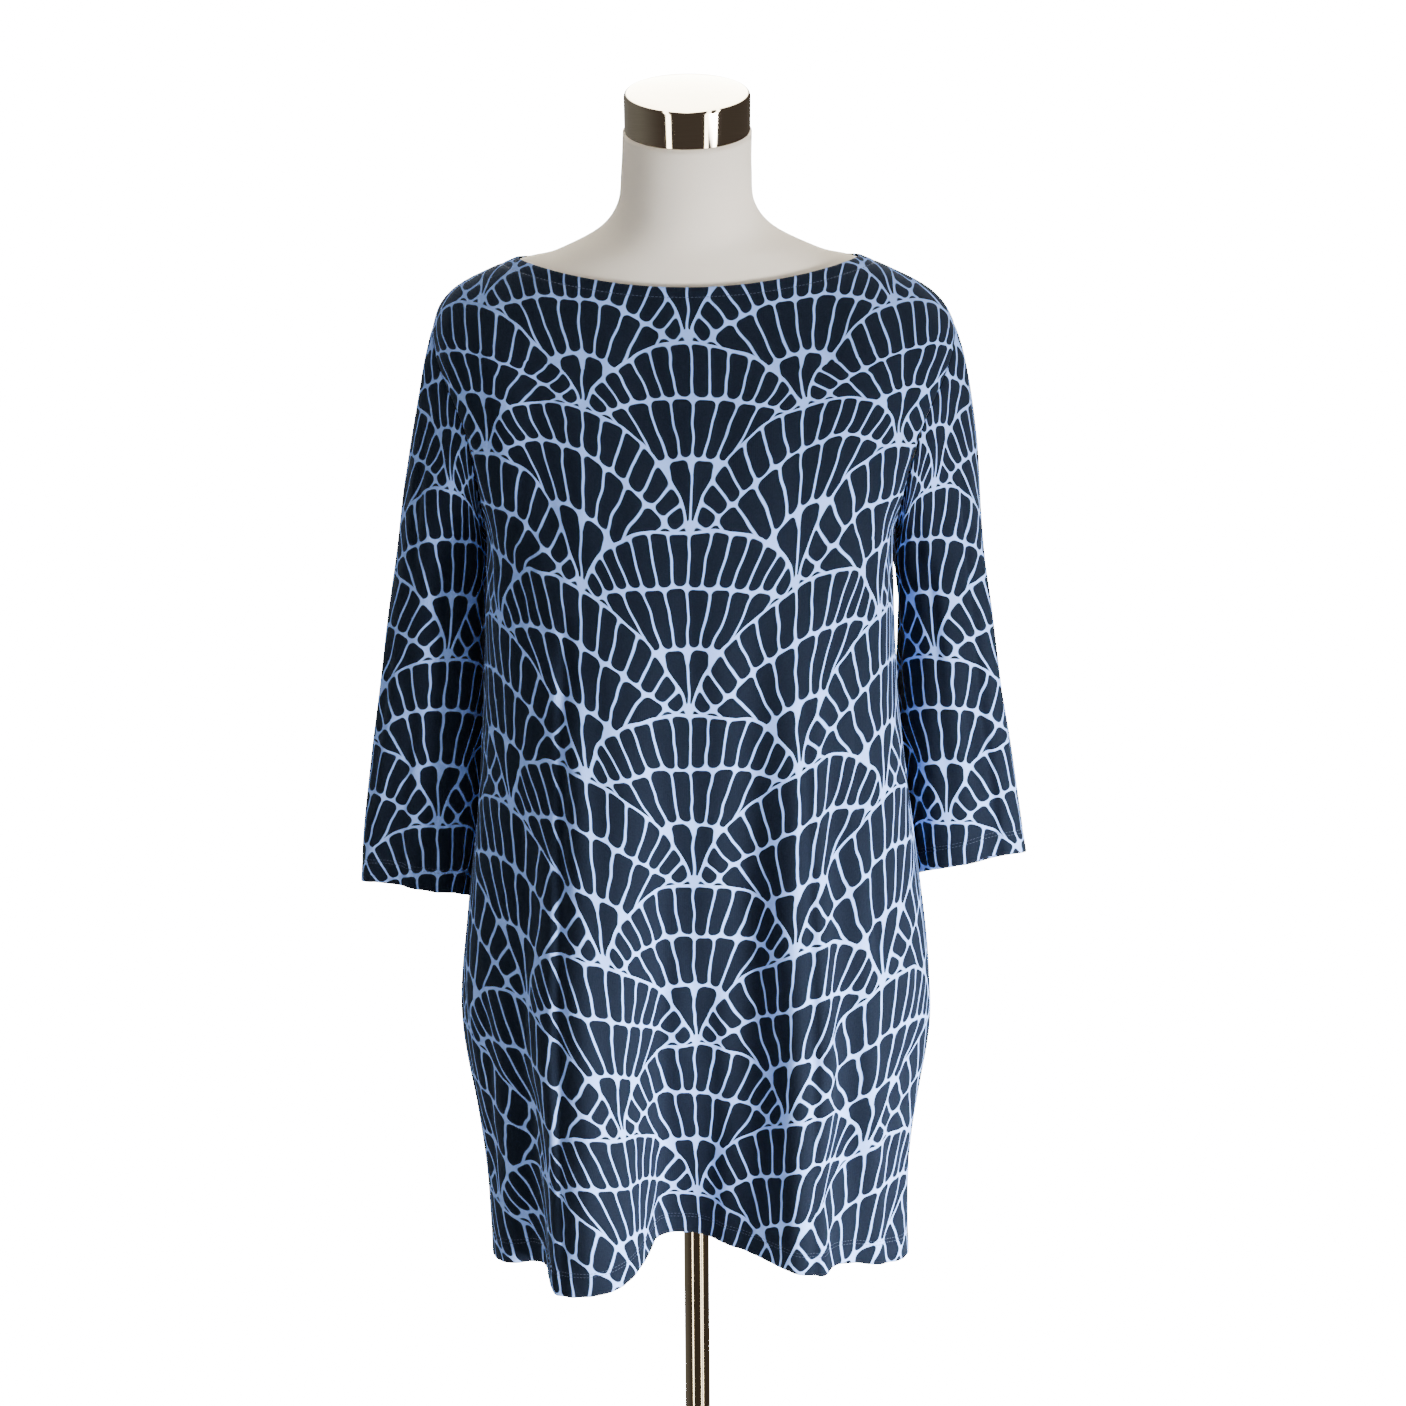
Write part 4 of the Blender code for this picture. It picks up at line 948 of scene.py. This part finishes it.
def makeForm():
    # rings of the form's sections from the top of the neck to the foot, closed at both ends
    down = np.linspace(formSections["neckTop"][0], formSections["edge"][0], formPiece["rows"])[:, None]
    angle = (np.arange(formPiece["columns"]) * 2 * math.pi / formPiece["columns"])[None, :]
    angle, down = np.broadcast_arrays(angle, down)
    form = closedTube("formKnitCover", levelOval(formSections, angle, down), formCover())
    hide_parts("form_torso")
    return form


formBody = makeForm()
print("form made")


# Metal of the stand

standSize = {
    "sides": 96, "fit": 0.0003,
    "cap": {"radius": 0.0515, "height": 0.033, "dome": 0.004, "rounding": 0.0052, "foot": 0.0006,
            "crown": (0.93, 0.05, 14)},                        # shares of the radius, and rings
    "pole": 0.0117, "socket": {"radius": 0.03, "height": 0.026}, "collar": {"radius": 0.021, "height": 0.034},
    "base": {"radius": 0.17, "edge": 0.007, "rise": 0.012, "boss": 0.032, "dish": 0.102, "dishRise": 0.002,
             "foot": 0.001, "bossSlope": 0.002, "bossDrop": 0.0004},
    "bevel": 0.002, "centre": 0.0006, "crease": 40.0,
}
steels = {
    # colour, dark, roughness, strength of the hairlines, and their spacing along each axis
    "brushedStainlessSteel": ("#b9b1a4", "#9c9486", 0.045, 0.04, (30.0, 30.0, 2600.0)),
    "satinWarmSteel": ("#9d917e", "#857a68", 0.09, 0.06, (40.0, 40.0, 1800.0)),
    "satinSteelPlate": ("#9d917e", "#857a68", 0.3, 0.1, (420.0, 420.0, 40.0)),
}


def steelMaterial(name, colour, dark, roughness, lineStrength, around):
    # Stainless steel brushed with a fine grit: a metal whose hairlines run round the piece and
    # stretch its highlights upright
    material, tree, shader = newMaterial(name, {"Metallic": 1.0, "Roughness": roughness,
                                                "Anisotropic": 0.3})
    place = addNode(tree, "ShaderNodeTexCoord", {}, {})
    stretch = addNode(tree, "ShaderNodeMapping", {}, {"Vector": (place, "Object"), "Scale": around})
    lines = noiseNode(tree, stretch, 1.0, 3.0, 0.65)
    mixed = mixColours(tree, (lines, 0), dark, colour)
    finishSurface(tree, shader, mixed, (lines, 0), lineStrength, 0.0001)
    tangent = addNode(tree, "ShaderNodeTangent", {"direction_type": "RADIAL", "axis": "Z"}, {})
    tree.links.new(tangent.outputs[0], shader.inputs["Tangent"])
    return material


def roundCorner(radius, height, rounding, count=6, short=0.0):
    # a quarter circle from an upright side to a level top, or stopping short of level
    turn = np.linspace(0, math.pi / 2 - short, count)
    return [(radius - rounding * (1 - math.cos(t)), height - rounding * (1 - math.sin(t))) for t in turn]


def lathe(profile):
    # radius and height carried round the Z axis
    angle = np.arange(standSize["sides"]) * 2 * math.pi / standSize["sides"]
    profile = np.array(profile)
    radius, height = profile[:, :1], profile[:, 1:] + 0 * angle
    return np.stack([radius * np.cos(angle), radius * np.sin(angle), height], axis=-1)


def sharpen(item):
    # edges sharper than the crease angle keep a crisp line
    item.data.set_sharp_from_angle(angle=math.radians(standSize["crease"]))


def ringPiece(name, inner, radius, low, high, material, node):
    # a hollow ring with rounded outer corners, its profile closed on itself
    bevel = standSize["bevel"]
    top = roundCorner(radius, high, bevel)
    bottom = [(r, low + high - h) for r, h in roundCorner(radius, high, bevel)][::-1]
    points = lathe([(inner, low)] + bottom + top + [(inner, high)])
    rowsCount, columns = points.shape[:2]
    quads, corners = gridQuads(rowsCount, columns, True)
    step = np.arange(columns)
    after = (step + 1) % columns
    far = (rowsCount - 1) * columns
    closing = np.stack([far + step, step, after, far + after], axis=1)
    quads = np.concatenate([quads, closing])
    quads, corners = outwards(points.reshape(-1, 3), quads, quads)
    ring = makeObject(name, points.reshape(-1, 3), quads.tolist(), material)
    sharpen(ring)
    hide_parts(node)
    return ring


def makeStand():
    # the leaning cap, the pole with its socket and collar, and the base, each from its own profile
    steel, satin, plate = (steelMaterial(name, *values) for name, values in steels.items())
    cap, fit, bevel = standSize["cap"], standSize["fit"], standSize["bevel"]
    corner = roundCorner(cap["radius"], cap["height"], cap["rounding"], 10, 2 * cap["dome"] / cap["radius"])
    edge, level = corner[-1]
    crown = [(edge * share, level + cap["dome"] * (1 - share ** 2)) for share in np.linspace(*cap["crown"])]
    profile = [(cap["radius"] - cap["foot"], 0.0), (cap["radius"], cap["foot"])] + corner + crown
    profile.append((standSize["centre"], level + cap["dome"]))
    tilt = math.atan(neckLean["tilt"])
    points = lathe(profile)
    lean = np.array(Matrix.Rotation(tilt, 3, "X"))
    top = formSections["neckTop"][1]
    points = points @ lean.T + (0, neckLean["top"] - fit * math.sin(tilt), top + fit * math.cos(tilt))
    neckCap = closedTube("neckCapSteel", points, steel)
    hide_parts("neck_cap")

    foot, base = formSections["edge"][1], standSize["base"]
    poleLow, poleHigh = base["rise"] + fit, foot - fit
    profile = [(standSize["pole"], poleLow), (standSize["pole"], poleHigh)]
    pole = closedTube("poleSteel", lathe(profile), satin)
    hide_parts("pole")
    inner = standSize["pole"] + fit
    socket = ringPiece("formSocketSteel", inner, standSize["socket"]["radius"],
                       poleHigh - standSize["socket"]["height"], poleHigh, satin, "form_socket")
    collar = ringPiece("poleCollarSteel", inner, standSize["collar"]["radius"], poleLow,
                       poleLow + standSize["collar"]["height"], satin, "pole_collar")
    profile = ([(standSize["centre"], 0.0), (base["radius"] - base["foot"], 0.0), (base["radius"], base["foot"])]
               + roundCorner(base["radius"], base["edge"], bevel, 8)
               + [(base["dish"], base["edge"] + base["dishRise"]),
                  (base["boss"] + base["bossSlope"], base["rise"] - base["bossDrop"]),
                  (base["boss"], base["rise"]), (standSize["centre"], base["rise"])])
    baseDisc = closedTube("basePlateSteel", lathe(profile), plate)
    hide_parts("base_plate")
    for item in (pole, neckCap, baseDisc):
        sharpen(item)
    return (neckCap, pole, socket, collar, baseDisc)


standPieces = makeStand()
print("stand made")


# Every piece, listed by its finish, rides on the root body

pieceSlots = {"printed_jersey": [frontCloth, backCloth, leftSleeve, rightSleeve, *threads],
              "form_jersey": [formBody], "brushed_steel": standPieces[:1], "dark_steel": standPieces[1:]}
for slotName, items in pieceSlots.items():
    for item in items:
        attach(item, "root")


# Studio: pale floor, soft key from the front right, and a reflector wall with strip boxes

studio = {
    "floor": "#f4f3f1", "floorRadius": 14.0,
    "key": {"place": (1.95, -1.6, 0.3), "aim": (0.0, 0.0, 0.47), "size": 0.8,
            "power": 43.0, "colour": "#fcfaf9", "spread": 50.0},
    "fill": {"place": (-1.3, -2.5, 0.45), "aim": (0.05, 0.0, 0.75), "size": 1.2,
             "power": 2.4, "colour": "#f2f5ff", "spread": 60.0},
    "top": {"place": (0.2, -0.1, 3.2), "aim": (0.0, 0.0, 1.2), "size": 2.0,
            "power": 20.0, "colour": "#fff6ea", "spread": 180.0},
    "back": {"place": (0.5, 2.8, 1.3), "aim": (0.0, 0.0, 0.9), "size": 1.6,
             "power": 40.0, "colour": "#fff8ee", "spread": 130.0},
    "surround": 0.25, "surroundColour": "#fbf9f6", "backdrop": 18.0, "nearFloor": 0.2, "farFloor": 0.46,
    "dark": "#665c54", "dimLeft": "#98958d", "bright": 24.0, "brightColour": "#fff9e6",
    "strips": ((-37.0, 10.0), (39.0, 7.5), (56.0, 7.5)), "soft": 0.8,  # bearing and width in degrees
    "dimFrom": -110.0, "dimTo": -45.0, "ceiling": (0.1, 0.3), "ceilingBow": -0.45,
}


def softBox(name):
    # a square area light turned towards what it lights
    settings = studio[name]
    light = bpy.data.lights.new(name + "SoftBox", "AREA")
    light.shape, light.size, light.energy = "SQUARE", settings["size"], settings["power"]
    light.spread = math.radians(settings["spread"])
    light.color = linearColour(settings["colour"])[:3]
    item = bpy.data.objects.new(name + "SoftBox", light)
    item.visible_glossy = name in ("key", "top")               # the other two stay off the steel
    item.location = settings["place"]
    ray = Vector(settings["aim"]) - Vector(settings["place"])
    item.rotation_euler = ray.to_track_quat("-Z", "Y").to_euler()
    bpy.context.scene.collection.objects.link(item)


def studioFloor():
    # a wide pale disc that meets the white surroundings
    angle = np.arange(96) * 2 * math.pi / 96
    points = np.stack([studio["floorRadius"] * np.cos(angle), studio["floorRadius"] * np.sin(angle),
                       0 * angle - 0.0004], axis=-1)
    material, tree, shader = newMaterial("paleStudioFloor", {
        "Roughness": 0.9, "Specular IOR Level": 0.1})
    place = addNode(tree, "ShaderNodeTexCoord", {}, {})
    noise = noiseNode(tree, (place, "Object"), 3.0)
    colour = mixColours(tree, (noise, 0), studio["floor"], "#ffffff")
    finishSurface(tree, shader, colour)
    away = vectorNode(tree, "LENGTH", (place, "Object"))
    glow = softStep(tree, (away, 1), studio["nearFloor"], studio["farFloor"], 0.0, studio["backdrop"])
    rays = addNode(tree, "ShaderNodeLightPath", {}, {})
    seen = mathNode(tree, "MULTIPLY", glow, (rays, "Is Camera Ray"))
    shader.inputs["Emission Color"].default_value = linearColour("#ffffff")
    tree.links.new(seen.outputs[0], shader.inputs["Emission Strength"])
    clear = addNode(tree, "ShaderNodeBsdfTransparent", {}, {})
    mixed = addNode(tree, "ShaderNodeMixShader", {}, {0: (rays, "Is Glossy Ray"), 1: shader, 2: clear})
    tree.links.new(mixed.outputs[0], tree.nodes["Material Output"].inputs["Surface"])
    floor = makeObject("studioFloor", points, [list(range(96))], material)


def studioWorld():
    # white all round; bright metal sees a darker room with three upright strips and a pale ceiling
    world = bpy.data.worlds.new("whiteStudio")
    world.use_nodes = True
    tree = world.node_tree
    tree.nodes.clear()
    place = addNode(tree, "ShaderNodeTexCoord", {}, {})
    axes = addNode(tree, "ShaderNodeSeparateXYZ", {}, {0: (place, "Generated")})
    ahead = mathNode(tree, "MULTIPLY", (axes, 1), -1.0)
    bearing = mathNode(tree, "ARCTAN2", (axes, 0), ahead)
    room = None
    for degrees, wide in studio["strips"]:
        off = mathNode(tree, "SUBTRACT", bearing, math.radians(degrees))
        size = mathNode(tree, "ABSOLUTE", off)
        strip = softStep(tree, size, math.radians(wide / 2 - studio["soft"]),
                         math.radians(wide / 2 + studio["soft"]), 1.0, 0.0)
        room = strip if room is None else mathNode(tree, "MAXIMUM", room, strip)
    left = softStep(tree, bearing, math.radians(studio["dimFrom"]), math.radians(studio["dimTo"]), 1.0, 0.0)
    walls = mixColours(tree, left, studio["dark"], studio["dimLeft"])
    sideways = mathNode(tree, "ABSOLUTE", (axes, 0))
    high = mathNode(tree, "MULTIPLY_ADD", sideways, studio["ceilingBow"], (axes, 2))
    ceiling = softStep(tree, high, *studio["ceiling"], 0.0, 1.0)
    lit = mathNode(tree, "MAXIMUM", room, ceiling)
    seen = mixColours(tree, lit, (walls, 2), studio["brightColour"])
    power = addNode(tree, "ShaderNodeMapRange", {}, {0: lit, 1: 0.0, 2: 1.0, 3: 1.0, 4: studio["bright"]})
    reflected = addNode(tree, "ShaderNodeBackground", {}, {"Color": (seen, 2), "Strength": power})
    around = addNode(tree, "ShaderNodeBackground", {}, {"Color": linearColour(studio["surroundColour"]),
                                                        "Strength": studio["surround"]})
    behind = addNode(tree, "ShaderNodeBackground", {}, {"Color": linearColour("#ffffff"),
                                                        "Strength": studio["backdrop"]})
    rays = addNode(tree, "ShaderNodeLightPath", {}, {})
    first = addNode(tree, "ShaderNodeMixShader", {}, {0: (rays, "Is Glossy Ray"), 1: around, 2: reflected})
    second = addNode(tree, "ShaderNodeMixShader", {}, {0: (rays, "Is Camera Ray"), 1: first, 2: behind})
    addNode(tree, "ShaderNodeOutputWorld", {}, {0: second})
    bpy.context.scene.world = world


for boxName in ("key", "fill", "top", "back"):
    softBox(boxName)
studioFloor()
studioWorld()
print("studio lit")
